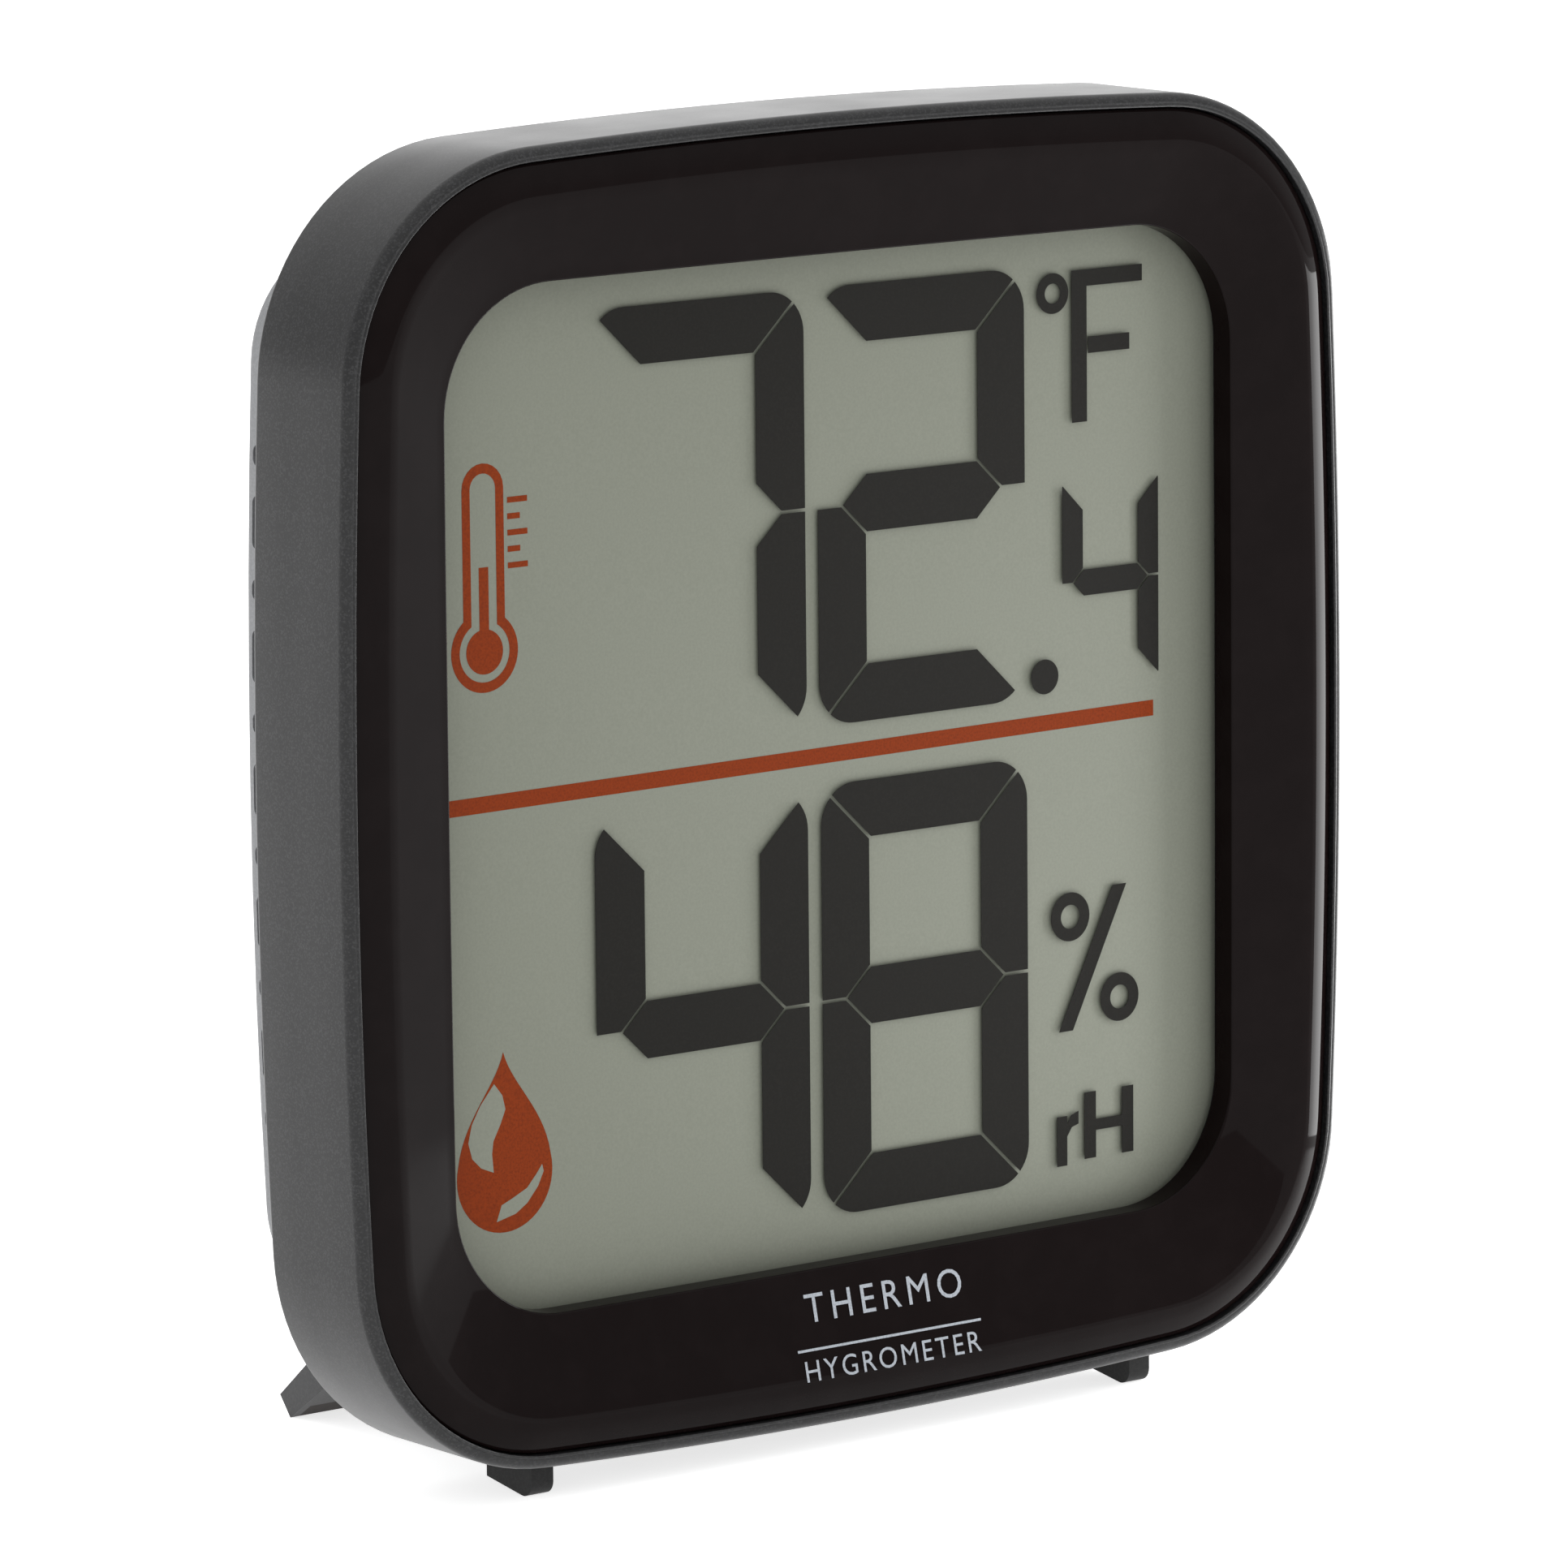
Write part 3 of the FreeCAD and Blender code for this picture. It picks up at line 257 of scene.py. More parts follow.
# Switched-on liquid crystal: nearly black, with the film's tooth over it.
CRYSTAL = Finish("liquid_crystal_segments", "141310", "181714", 0.6, 0.16, 0.0, specular=0.1)
# Screen-printed orange ink under the film: matte, with specks of thin ink.
ORANGE_INK = Finish("orange_screen_print", "762C06", "652405", 0.7, 0.14, 0.0, Grain.CLOUD, 0.40,
                    0.66, specular=0.1)
# Pad-printed light grey ink on the gloss: flat and slightly uneven.
GREY_INK = Finish("grey_pad_print", "9A9FA6", "868B92", 0.5, 0.12, 0.0, specular=0.3)
# Moulded grey ABS of the rear shell: spark-eroded texture, satin.
REAR_ABS = Finish("moulded_grey_abs", "7D7E80", "868789", 0.5, 0.16, 0.003, specular=0.45,
                  blotch_mm=9.0, blotch_depth=0.03)
# Moulded charcoal ABS of the stand and button: same texture, darker.
STAND_ABS = Finish("moulded_charcoal_abs", "2D2D2E", "363637", 0.48, 0.15, 0.004, specular=0.4,
                   blotch_mm=7.0, blotch_depth=0.05)
# Santoprene strip on the stand's tip: dull, brownish black. The dark brown is painted shade of the
# stand's underside at its end.
GRIP_RUBBER_PAINTED_SHADE = Finish("grip_painted_shade_brown_black", "1C1512", "241B17", 0.85, 0.2, 0.006, specular=0.2,
                     sheen=0.1)
# Rubber of the front feet: matte black grey with a dusting of wear. Its body is darker than the
# stand's plastic: painted shade from the case above the feet.
FOOT_RUBBER_PAINTED_SHADE = Finish("foot_rubber_painted_shade", "191919", "222222", 0.8, 0.2, 0.006, specular=0.3,
                     sheen=0.1)
# Zinc-plated steel of the screws: bright satin metal with plating spangle.
ZINC = Finish("zinc_plated_steel", "A9ABAF", "B9BBBF", 0.32, 0.3, 0.002, Grain.CELLS, 0.0, 1.0,
              metallic=1.0)
# Nickel plate on springs, contacts and magnets: warm, bright metal.
NICKEL = Finish("nickel_plate", "B7B1A6", "C4BEB3", 0.22, 0.4, 0.001, metallic=1.0)
# Closed-cell polyurethane foam: dull black with open pores.
FOAM = Finish("pu_foam", "131313", "1C1C1C", 0.95, 0.25, 0.02, Grain.CELLS, 0.1, 0.9,
              specular=0.1)
# Soda-lime display glass: clear, a little green at its edge.
GLASS = Finish("display_glass", "DDE6E0", "E2EAE5", 0.03, 1.5, 0.0, ior=1.52, clear=0.9)
# Brushed aluminium foil of the reflector: soft grain.
FOIL = Finish("reflector_foil", "B4B7AC", "BEC1B6", 0.45, 0.2, 0.002, metallic=0.7)
# White moulded polystyrene of the holder and plunger: satin.
WHITE_PS = Finish("white_polystyrene", "D8D8D2", "E0E0DB", 0.5, 0.3, 0.002, specular=0.5)
# Glass-epoxy board under green solder mask: glossy, with its weave just showing.
BOARD = Finish("solder_mask_fr4", "0D4A24", "12582D", 0.3, 0.45, 0.003, Grain.THREADS, 0.1, 0.6,
               coat=0.3)
# Silicone connector with carbon stripes: pinkish grey bands at a fine pitch.
ZEBRA = Finish("striped_silicone", "9A5E66", "1A1A1A", 0.6, 0.3, 0.0, Grain.THREADS, 0.3, 0.5)
# Black epoxy over the chip and the switch's phenolic: glossy to satin, slightly pitted.
EPOXY = Finish("black_epoxy", "101011", "18181A", 0.35, 0.5, 0.004)
# Fired ceramic of the capacitors and the humidity plate: tan and matte.
CERAMIC = Finish("fired_ceramic", "A58B66", "B59A74", 0.6, 0.12, 0.002)
# Woven nylon dust mesh: black threads at a 0.4 mm pitch.
MESH = Finish("woven_nylon", "161616", "2A2A2A", 0.7, 0.4, 0.02, Grain.THREADS, 0.2, 0.7,
              sheen=0.2)
# Shrink wrap round the cell: dark green PVC with a faint mottle.
WRAP = Finish("pvc_shrink_wrap", "123A30", "16453A", 0.25, 0.8, 0.001, coat=0.2)
# Opal acrylic of a lit studio table: matte white, with an even light of its own.
FLOOR = Finish("opal_acrylic_table", "E8E8E8", "EAEAEA", 0.9, 4.0, 0.0, specular=0.0, glow=0.72)


# ---- geometry

@dataclass(frozen=True)
class CaseFrame:
    """The leaning case's own axes: across, rearward from the rim and up from its middle."""

    origin: Vector
    rear: Vector
    up: Vector

    @classmethod
    def from_record(cls, hinge_depth: float = 16.7, hinge_height: float = -29.2) -> "CaseFrame":
        """Find the axes from the joints that the record states.

        Args:
            hinge_depth: Depth of the stand's axis behind the rim, in millimetres.
            hinge_height: Height of that axis from the case's middle, in millimetres.

        Returns:
            The case's frame.
        """
        joints = {joint["name"]: joint for joint in frame["joints"]}
        rear = -Vector(joints["button_press"]["axis"]).normalized()
        up = Vector((1.0, 0.0, 0.0)).cross(rear).normalized()
        hinge = Vector(joints["stand_hinge"]["pos_m"])
        return cls(hinge - (rear * hinge_depth + up * hinge_height) * MM, rear, up)

    def point(self, across: float, depth: float, height: float) -> Vector:
        """Return a place given in millimetres of the case's frame, in metres of the row's."""
        return self.origin + (Vector((across, 0.0, 0.0)) + self.rear * depth
                              + self.up * height) * MM


@dataclass(frozen=True)
class BowedOutline:
    """A rounded rectangle whose four sides are long, gently bowed arcs."""

    half_width: float
    half_height: float
    corner: float
    bow: float
    rise: float = 0.0
    steps: int = 20

    def points(self, inset: float = 0.0) -> Outline:
        """Walk round the outline.

        Args:
            inset: How far inside the outline to walk.

        Returns:
            Points in order, the same number whatever the sizes are.
        """
        side = self.half_width - self.bow
        top = self.half_height - self.bow
        half_gap = math.hypot(side, top) / 2.0
        spread = math.sqrt((self.bow - self.corner) ** 2 - half_gap ** 2)
        across = side / 2.0 - top / (2.0 * half_gap) * spread
        above = top / 2.0 - side / (2.0 * half_gap) * spread
        if across + above < 0.0:
            across, above = side - across, top - above
        side_span = math.atan2(above, across - side)
        top_span = math.atan2(across, above - top)
        quarter = math.pi / 2.0
        arcs = []
        for turn in range(4):
            flat_span, next_span = ((side_span, top_span) if turn % 2 == 0
                                    else (top_span, side_span))
            centre = (side, 0.0) if turn % 2 == 0 else (0.0, top)
            sign = 1.0 if turn < 2 else -1.0
            facing = turn * quarter
            arcs.append((centre[0] * sign, centre[1] * sign, self.bow - inset,
                         facing - flat_span, facing + flat_span))
            arcs.append((across * (1 if turn in (0, 3) else -1), above * (1 if turn < 2 else -1),
                         self.corner - inset, facing + flat_span, facing + quarter - next_span))
        walked = []
        for x_mid, z_mid, radius, start, end in arcs:
            for step in range(self.steps):
                angle = start + (end - start) * step / self.steps
                walked.append((x_mid + radius * math.cos(angle),
                               z_mid + radius * math.sin(angle) + self.rise))
        return walked


CASE_OUTLINE = BowedOutline(35.5, 37.0, 13.0, 500.0)
WINDOW_OUTLINE = BowedOutline(27.8, 28.6, 7.2, 4000.0, 0.45)


def arc_profile(inset: float, depth: float, radius_in: float, radius_deep: float, start: float,
                end: float, steps: int = 8) -> Outline:
    """Walk along an elliptic arc of a section.

    Args:
        inset: The arc's centre, measured inwards from the case's outline.
        depth: The arc's centre, measured rearward.
        radius_in: Half size along the inset.
        radius_deep: Half size along the depth.
        start: First angle in degrees; nought points outwards and ninety to the front.
        end: Last angle in degrees.
        steps: How many short chords to use.

    Returns:
        Pairs of inset and depth.
    """
    angles = [math.radians(start + (end - start) * step / steps) for step in range(steps + 1)]
    return [(inset - radius_in * math.cos(angle), depth - radius_deep * math.sin(angle))
            for angle in angles]


def clip(polygon: Outline, place: Point2, outward: Point2) -> Outline:
    """Cut a convex outline by a straight line.

    Args:
        polygon: The outline.
        place: A point on the line.
        outward: The direction of what is cut away.

    Returns:
        What is left of the outline.
    """
    kept = []
    sides = [(x - place[0]) * outward[0] + (z - place[1]) * outward[1] for x, z in polygon]
    for index, (x, z) in enumerate(polygon):
        following = (index + 1) % len(polygon)
        if sides[index] <= 0.0:
            kept.append((x, z))
        if (sides[index] < 0.0 < sides[following]) or (sides[following] < 0.0 < sides[index]):
            share = sides[index] / (sides[index] - sides[following])
            next_x, next_z = polygon[following]
            kept.append((x + (next_x - x) * share, z + (next_z - z) * share))
    return kept


@dataclass
class Workshop:
    """Turns outlines of the case's frame into mesh pieces that ride on a body."""

    case: CaseFrame
    sharp_degrees: float = 32.0

    def sweep(self, outline: BowedOutline, section: Outline) -> list[list[Vector]]:
        """Carry a section of insets and depths round an outline, a ring for each pair."""
        return [[self.case.point(x, depth, z) for x, z in outline.points(inset)]
                for inset, depth in section]

    def piece(self, name: str, points: list[Vector], faces: list[list[int]], finish: Finish,
              body: str = "case") -> Object:
        """Make one mesh piece and put it on a body.

        Args:
            name: The piece's name.
            points: Its vertices in metres.
            faces: Its faces as vertex numbers.
            finish: Its finish.
            body: The body that it rides on.

        Returns:
            The new object.
        """
        mesh = bpy.data.meshes.new(name)
        mesh.from_pydata(points, [], faces)
        mesh.validate()
        made = bpy.data.objects.new(name, mesh)
        bpy.context.scene.collection.objects.link(made)
        mesh.materials.append(finish.material())
        mesh.shade_smooth()
        mesh.set_sharp_from_angle(angle=math.radians(self.sharp_degrees))
        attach(made, body)
        LOG.info("piece %s: %d faces, %s", name, len(faces), finish.name)
        return made

    def loft(self, name: str, rings: list[list[Vector]], finish: Finish,
             closed: bool = True) -> Object:
        """Skin a row of rings that have the same number of points.

        Args:
            name: The piece's name.
            rings: The rings in order.
            finish: Its finish.
            closed: Whether the last ring joins the first.

        Returns:
            The new object.
        """
        count = len(rings[0])
        points = [point for ring in rings for point in ring]
        faces = []
        for low in range(len(rings) if closed else len(rings) - 1):
            high = (low + 1) % len(rings)
            for step in range(count):
                after = (step + 1) % count
                faces.append([low * count + step, low * count + after,
                              high * count + after, high * count + step])
        if not closed:
            faces.append(list(range(count))[::-1])
            faces.append([(len(rings) - 1) * count + step for step in range(count)])
        return self.piece(name, points, faces, finish)

    def plates(self, name: str, outlines: list[Outline], front: float, thick: float,
               finish: Finish) -> Object:
        """Make flat raised shapes that face the front.

        Args:
            name: The piece's name.
            outlines: One outline for each shape.
            front: Depth of the shapes' front faces.
            thick: Their thickness.
            finish: Their finish.

        Returns:
            One object with all the shapes.
        """
        points, faces = [], []
        for outline in outlines:
            count, first = len(outline), len(points)
            for depth in (front, front + thick):
                points += [self.case.point(x, depth, z) for x, z in outline]
            faces.append([first + step for step in range(count)])
            faces.append([first + count + step for step in reversed(range(count))])
            faces += [[first + step, first + count + step,
                       first + count + (step + 1) % count, first + (step + 1) % count]
                      for step in range(count)]
        return self.piece(name, points, faces, finish)

    def frame_plate(self, name: str, outer: Outline, inner: Outline, front: float, thick: float,
                    finish: Finish) -> Object:
        """Make a flat shape with a hole, between two outlines of equal length."""
        rings = [[self.case.point(x, depth, z) for x, z in outline]
                 for outline, depth in ((outer, front), (inner, front), (inner, front + thick),
                                        (outer, front + thick))]
        return self.loft(name, rings, finish)


# ---- the assemblies

@dataclass
class CaseRing:
    """The painted ring: a flat side, a round front edge with a fine bead, and the bezel's seat."""

    depth: float = 9.0
    front: float = 0.32
    front_round: float = 0.6
    front_degrees: float = 80.0
    bead: float = 0.11
    bead_height: float = 0.10
    bead_drop: float = 0.07
    bead_degrees: tuple[float, float] = (25.0, 155.0)
    groove_drop: float = 0.12
    side_stations: tuple[float, float] = (6.0, 3.5)
    seat_depth: float = 2.2
    ring_wall: float = 1.9
    rear_round: float = 0.4

    def profile(self) -> Outline:
        """Walk round the ring's section.

        Returns:
            Pairs of inset and depth, from the rear edge over the side and the bead to the wall.
        """
        section = arc_profile(self.rear_round, self.depth - self.rear_round, self.rear_round,
                              self.rear_round, -RIGHT_ANGLE, 0.0)
        section += [(0.0, depth) for depth in self.side_stations]
        section += arc_profile(self.front_round, self.front + self.front_round, self.front_round,
                               self.front_round, 0.0, self.front_degrees, 10)
        bead_in = self.front_round + self.bead
        section += arc_profile(bead_in, self.front + self.bead_drop, self.bead, self.bead_height,
                               *self.bead_degrees)
        inner = bead_in + self.bead
        return section + [(inner, self.front + self.groove_drop), (inner, self.seat_depth),
                          (self.ring_wall, self.seat_depth), (self.ring_wall, self.depth)]

    def build(self, shop: Workshop) -> None:
        """Skin the section round the case's outline.

        Args:
            shop: The workshop that makes the piece.
        """
        rings = shop.sweep(CASE_OUTLINE, self.profile())
        ring = shop.loft("case_ring", rings, CASE_PAINT)
        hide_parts("front_case")


@dataclass(frozen=True)
class PrintedLine:
    """One line of capitals: its foot's height, the type's size and the spacing of its letters."""

    name: str
    words: str
    foot: float
    size: float
    spread: float


UPPER_LINE = PrintedLine("printed_upper_line", "THERMO", -31.0, 2.35, 1.32)
LOWER_LINE = PrintedLine("printed_lower_line", "HYGROMETER", -34.2, 1.7, 1.22)


@dataclass
class GlossBezel:
    """The gloss bezel: a rolled outer edge, a dish and the walls of the window."""

    outer_inset: float = 0.88
    front: float = 0.03
    shoulder_radius: float = 2.4
    shoulder_degrees: float = 18.0
    roll_radius: float = 7.0
    roll_degrees: float = 27.0
    turn_radius: float = 0.22
    bend_steps: tuple[int, int, int] = (6, 10, 6)
    lip_depth: float = 1.4
    lip_round: float = 0.14
    lip_steps: int = 5
    tube_end: float = 2.9
    tube_wall: float = 1.0
    seat_depth: float = 2.2
    dish_steps: int = 7
    print_lift: float = 0.05
    print_middle: float = 1.5
    capital_share: float = 0.7
    rule_sides: Point2 = (-5.1, 8.1)
    rule_heights: Point2 = (-32.55, -32.41)

    def turns(self) -> list[tuple[float, float, float]]:
        """Return each bend's radius and its steepness at both ends, from the edge inwards."""
        return [(self.turn_radius, RIGHT_ANGLE, self.roll_degrees),
                (self.roll_radius, self.roll_degrees, self.shoulder_degrees),
                (self.shoulder_radius, self.shoulder_degrees, 0.0)]

    def bends(self) -> list[Point2]:
        """Find where the bends begin and end.

        Returns:
            Pairs of inset and rise from the edge, one more than there are bends.
        """
        bends = [(0.0, 0.0)]
        for radius, steep, flat in self.turns():
            inset, rise = bends[-1]
            steep, flat = math.radians(steep), math.radians(flat)
            bends.append((inset + radius * (math.sin(steep) - math.sin(flat)),
                          rise + radius * (math.cos(flat) - math.cos(steep))))
        return bends

    def crest_inset(self) -> float:
        """Return how far inside the case's outline the bezel's crest runs."""
        return self.outer_inset + self.bends()[-1][0]

    def roll(self) -> Outline:
        """Walk over the rolled edge: a tight turn, a wide round and a soft shoulder.

        Returns:
            Pairs of inset and depth.
        """
        bends = self.bends()
        low = self.front + bends[-1][1]
        section = [(self.outer_inset, low)]
        for (inset, rise), (radius, steep, flat), steps in zip(bends, self.turns(),
                                                               self.bend_steps):
            start = math.radians(steep)
            for step in range(1, steps + 1):
                angle = math.radians(steep + (flat - steep) * step / steps)
                section.append((self.outer_inset + inset + radius * (math.sin(start)
                                                                     - math.sin(angle)),
                                low - rise - radius * (math.cos(angle) - math.cos(start))))
        return section

    def dish(self, case: CaseFrame) -> list[list[Vector]]:
        """Rule the dish from its crest down to the window's lip.

        Args:
            case: The case's frame.

        Returns:
            The rings of the dish.
        """
        crest = CASE_OUTLINE.points(self.crest_inset())
        lip = WINDOW_OUTLINE.points(-self.lip_round)
        fall = self.lip_depth - self.front
        shares = [step / self.dish_steps for step in range(1, self.dish_steps + 1)]
        return [[case.point(a[0] + (b[0] - a[0]) * share, self.front + fall * share,
                            a[1] + (b[1] - a[1]) * share) for a, b in zip(crest, lip)]
                for share in shares]

    def window_section(self) -> Outline:
        """Walk over the window's round lip, along its wall and back to the seat.

        Returns:
            Pairs of inset and depth, measured from the window's outline.
        """
        section = []
        for step in range(1, self.lip_steps + 1):
            angle = math.radians(step * RIGHT_ANGLE / self.lip_steps)
            section.append((-self.lip_round * (1.0 - math.sin(angle)),
                            self.lip_depth + self.lip_round * (1.0 - math.cos(angle))))
        return section + [(0.0, self.tube_end), (-self.tube_wall, self.tube_end),
                          (-self.tube_wall, self.seat_depth)]

    def build(self, shop: Workshop) -> None:
        """Skin the bezel from its seat over the roll and the dish to the back of its tube.

        Args:
            shop: The workshop that makes the piece.
        """
        rings = shop.sweep(CASE_OUTLINE, [(self.outer_inset, self.seat_depth)] + self.roll())
        rings += self.dish(shop.case) + shop.sweep(WINDOW_OUTLINE, self.window_section())
        bezel = shop.loft("bezel_moulding", rings, PIANO_BLACK)
        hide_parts("gloss_bezel")
        self.build_mark(shop)

    def build_mark(self, shop: Workshop) -> None:
        """Print the kind of instrument in two lines with a rule between them.

        Args:
            shop: The workshop that makes the pieces.
        """
        self.print_line(shop.case, UPPER_LINE)
        self.print_line(shop.case, LOWER_LINE)
        (left, right), (low, high) = self.rule_sides, self.rule_heights
        points = [self.print_point(shop.case, x, z) for x, z in bar(left, low, right, high)]
        shop.piece("printed_rule_line", points, [[0, 1, 2, 3]], GREY_INK)

    def print_line(self, case: CaseFrame, text: PrintedLine) -> None:
        """Print one line of capitals on the dish.

        Args:
            case: The case's frame.
            text: What the line says, how and where.
        """
        curve = bpy.data.curves.new(text.name, "FONT")
        curve.body, curve.size, curve.space_character = text.words, text.size * MM, text.spread
        curve.align_x, curve.resolution_u = "CENTER", 4
        line = bpy.data.objects.new(text.name, curve)
        curve.materials.append(GREY_INK.material())
        bpy.context.scene.collection.objects.link(line)
        foot, head = (self.print_point(case, self.print_middle, height) for height in (
            text.foot, text.foot + text.size * self.capital_share))
        upward = (head - foot).normalized()
        across = Vector((1.0, 0.0, 0.0))
        outward = across.cross(upward)
        line.matrix_world = Matrix.Translation(foot) @ Matrix(
            (across, upward, outward)).transposed().to_4x4()
        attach(line, "case")
        LOG.info("piece %s: %s", text.name, GREY_INK.name)

    def print_point(self, case: CaseFrame, across: float, height: float) -> Vector:
        """Find a place of the print, a hair in front of the dish under the window.

        Args:
            case: The case's frame.
            across: How far right of the case's middle.
            height: How far above the case's middle.

        Returns:
            The place in the row's frame.
        """
        outer = CASE_OUTLINE.half_height - self.crest_inset()
        inner = WINDOW_OUTLINE.half_height - WINDOW_OUTLINE.rise + self.lip_round
        share = max(0.0, (outer + height) / (outer - inner))
        depth = self.front + (self.lip_depth - self.front) * share
        return case.point(across, depth - self.print_lift, height)


class Segment(Enum):
    """The seven strokes of a digit."""

    TOP = "a"
    UPPER_RIGHT = "b"
    LOWER_RIGHT = "c"
    BOTTOM = "d"
    LOWER_LEFT = "e"
    UPPER_LEFT = "f"
    MIDDLE = "g"


DIGITS = {"2": "abged", "4": "fgbc", "7": "abc", "8": "abcdefg"}


@dataclass
class Digit:
    """One seven-stroke digit, cut out of a rounded block by its gap lines."""

    across: float
    height: float
    wide: float = 14.9
    tall: float = 24.7
    stroke_wide: float = 3.4
    stroke_tall: float = 3.25
    corner: float = 2.4
    gap: float = 0.2
    corner_steps: int = 12

    def block(self) -> Outline:
        """Walk round the digit's rounded block.

        Returns:
            The block's outline about its own middle.
        """
        x_mid, z_mid = self.wide / 2.0 - self.corner, self.tall / 2.0 - self.corner
        chord = RIGHT_ANGLE / self.corner_steps
        return [(x_mid * sx + self.corner * math.cos(math.radians(start + step * chord)),
                 z_mid * sz + self.corner * math.sin(math.radians(start + step * chord)))
                for sx, sz, start in ((1, 1, 0), (-1, 1, 90), (-1, -1, 180), (1, -1, 270))
                for step in range(self.corner_steps + 1)]

    def stroke(self, segment: Segment) -> Outline:
        """Cut one stroke out of the block.

        Args:
            segment: Which stroke.

        Returns:
            Its outline in the case's frame.
        """
        half_wide, half_tall = self.wide / 2.0, self.tall / 2.0
        inner_x, inner_z = half_wide - self.stroke_wide, half_tall - self.stroke_tall
        slope = (self.stroke_wide, self.stroke_tall)
        length = math.hypot(*slope)
        across = (slope[1] / length, -slope[0] / length)
        shape = self.block()
        flip_x = -1.0 if segment in (Segment.LOWER_LEFT, Segment.UPPER_LEFT) else 1.0
        flip_z = -1.0 if segment in (Segment.BOTTOM, Segment.LOWER_LEFT,
                                     Segment.LOWER_RIGHT) else 1.0
        shift = self.gap / 2.0
        if segment in (Segment.TOP, Segment.BOTTOM):
            shape = clip(shape, (0.0, inner_z), (0.0, -1.0))
            for side in (-1.0, 1.0):
                shape = clip(shape, (side * (inner_x - across[0] * shift),
                                     inner_z - across[1] * shift), (side * across[0], across[1]))
        elif segment is Segment.MIDDLE:
            half = self.stroke_tall / 2.0
            reach = half * self.stroke_wide / self.stroke_tall
            shape = [(inner_x, half), (inner_x + reach, 0.0), (inner_x, -half), (-inner_x, -half),
                     (-inner_x - reach, 0.0), (-inner_x, half)]
            shape = [(x - math.copysign(shift, x), z) for x, z in shape]
        else:
            half = self.stroke_tall / 2.0
            shape = clip(shape, (inner_x, 0.0), (-1.0, 0.0))
            shape = clip(shape, (0.0, shift), (0.0, -1.0))
            shape = clip(shape, (inner_x + across[0] * shift, inner_z + across[1] * shift),
                         (-across[0], -across[1]))
            shape = clip(shape, (inner_x + across[0] * shift, half - across[1] * shift),
                         (-across[0], across[1]))
        return [(self.across + x * flip_x, self.height + z * flip_z) for x, z in shape]

    def outlines(self, figure: str) -> list[Outline]:
        """Return the outlines of the strokes that a figure lights."""
        return [self.stroke(Segment(letter)) for letter in DIGITS[figure]]


def circle(across: float, height: float, radius: float, steps: int = 40) -> Outline:
    """Return a circle's outline."""
    return [(across + radius * math.cos(2 * math.pi * step / steps),
             height + radius * math.sin(2 * math.pi * step / steps)) for step in range(steps)]


def bar(left: float, low: float, right: float, high: float) -> Outline:
    """Return an upright rectangle's outline."""
    return [(left, low), (right, low), (right, high), (left, high)]


def bezier(guides: tuple[Point2, Point2, Point2, Point2], steps: int) -> Outline:
    """Walk along a cubic curve.

    Args:
        guides: Its start, the two places that it leans to, and its end.
        steps: How many short chords to use.

    Returns:
        The points in order, with both ends.
    """
    walked = []
    for step in range(steps + 1):
        share = step / steps
        weights = ((1 - share) ** 3, 3 * share * (1 - share) ** 2, 3 * share ** 2 * (1 - share),
                   share ** 3)
        walked.append(tuple(sum(weight * guide[axis] for weight, guide in zip(weights, guides))
                            for axis in (0, 1)))
    return walked


# The units' strokes in the case's frame: bars as left, low, right and high, others as corners.
LETTER_F = ((17.5, 17.8, 18.6, 26.5), (18.6, 25.55, 22.7, 26.5), (18.7, 21.7, 21.75, 22.65))
LETTER_R_STEM = (16.15, -25.2, 16.9, -22.3)
LETTER_R_HOOK = [(16.9, -22.75), (17.2, -22.3), (17.75, -22.1), (17.75, -22.85), (17.25, -23.0),
                 (16.9, -23.5)]
LETTER_H = ((18.2, -25.0, 19.05, -21.1), (21.0, -25.0, 21.85, -21.1), (19.05, -23.4, 21.0, -22.75))
PERCENT_SLASH = [(16.34, -17.35), (17.36, -17.35), (21.38, -9.2), (20.36, -9.2)]
# The two reflections left open in the printed drop.
HIGH_SHINE = [(-23.65, -15.2), (-23.1, -15.9), (-22.9, -16.7), (-23.25, -17.5), (-23.75, -18.4),
              (-23.85, -19.1), (-23.75, -20.15), (-24.6, -19.8), (-25.2, -19.2), (-25.45, -18.3),
              (-25.2, -17.3), (-24.6, -16.3)]
LOW_SHINE = [(-20.45, -20.1), (-20.35, -20.5), (-20.75, -21.3), (-21.5, -22.15), (-22.3, -22.65),
             (-23.6, -22.95), (-23.25, -22.05), (-22.5, -21.75), (-21.5, -21.3), (-20.85, -20.6)]


@dataclass
class Thermometer:
    """The printed thermometer: a tube round a column, both with a bulb, and short ticks."""

    across: float = -23.85
    bulb_height: float = 8.8
    bulb_steps: int = 40
    dome_steps: int = 12
    tick_left: float = -22.2
    tick_right: float = -20.85
    tick_shorter: float = 0.5
    tick_top: float = 17.0
    tick_pitch: float = 0.9
    tick_half: float = 0.16
    tick_count: int = 5

    def stem(self, half: float, radius: float, top: float, domed: bool = True) -> Outline:
        """Walk round a stem that ends in a bulb.

        Args:
            half: Half the stem's width.
            radius: The bulb's radius.
            top: Height of the stem's top.
            domed: Whether the stem's top is round.

        Returns:
            The outline, always with the same number of points.
        """
        start = math.asin(half / radius)
        sweep = 2 * math.pi - 2 * start
        walked = [(self.across + radius * math.sin(angle),
                   self.bulb_height + radius * math.cos(angle))
                  for angle in (start + sweep * step / self.bulb_steps
                                for step in range(self.bulb_steps + 1))]
        dome = half if domed else 0.0
        for step in range(self.dome_steps + 1):
            angle = math.pi - math.pi * step / self.dome_steps
            walked.append((self.across + half * math.cos(angle),
                           top - dome + dome * math.sin(angle)))
        return walked

    def ticks(self) -> list[Outline]:
        """Return the ticks' outlines from the top down, every other one shorter."""
        heights = [self.tick_top - self.tick_pitch * step for step in range(self.tick_count)]
        return [bar(self.tick_left, height - self.tick_half,
                    self.tick_right - self.tick_shorter * (step % 2), height + self.tick_half)
                for step, height in enumerate(heights)]


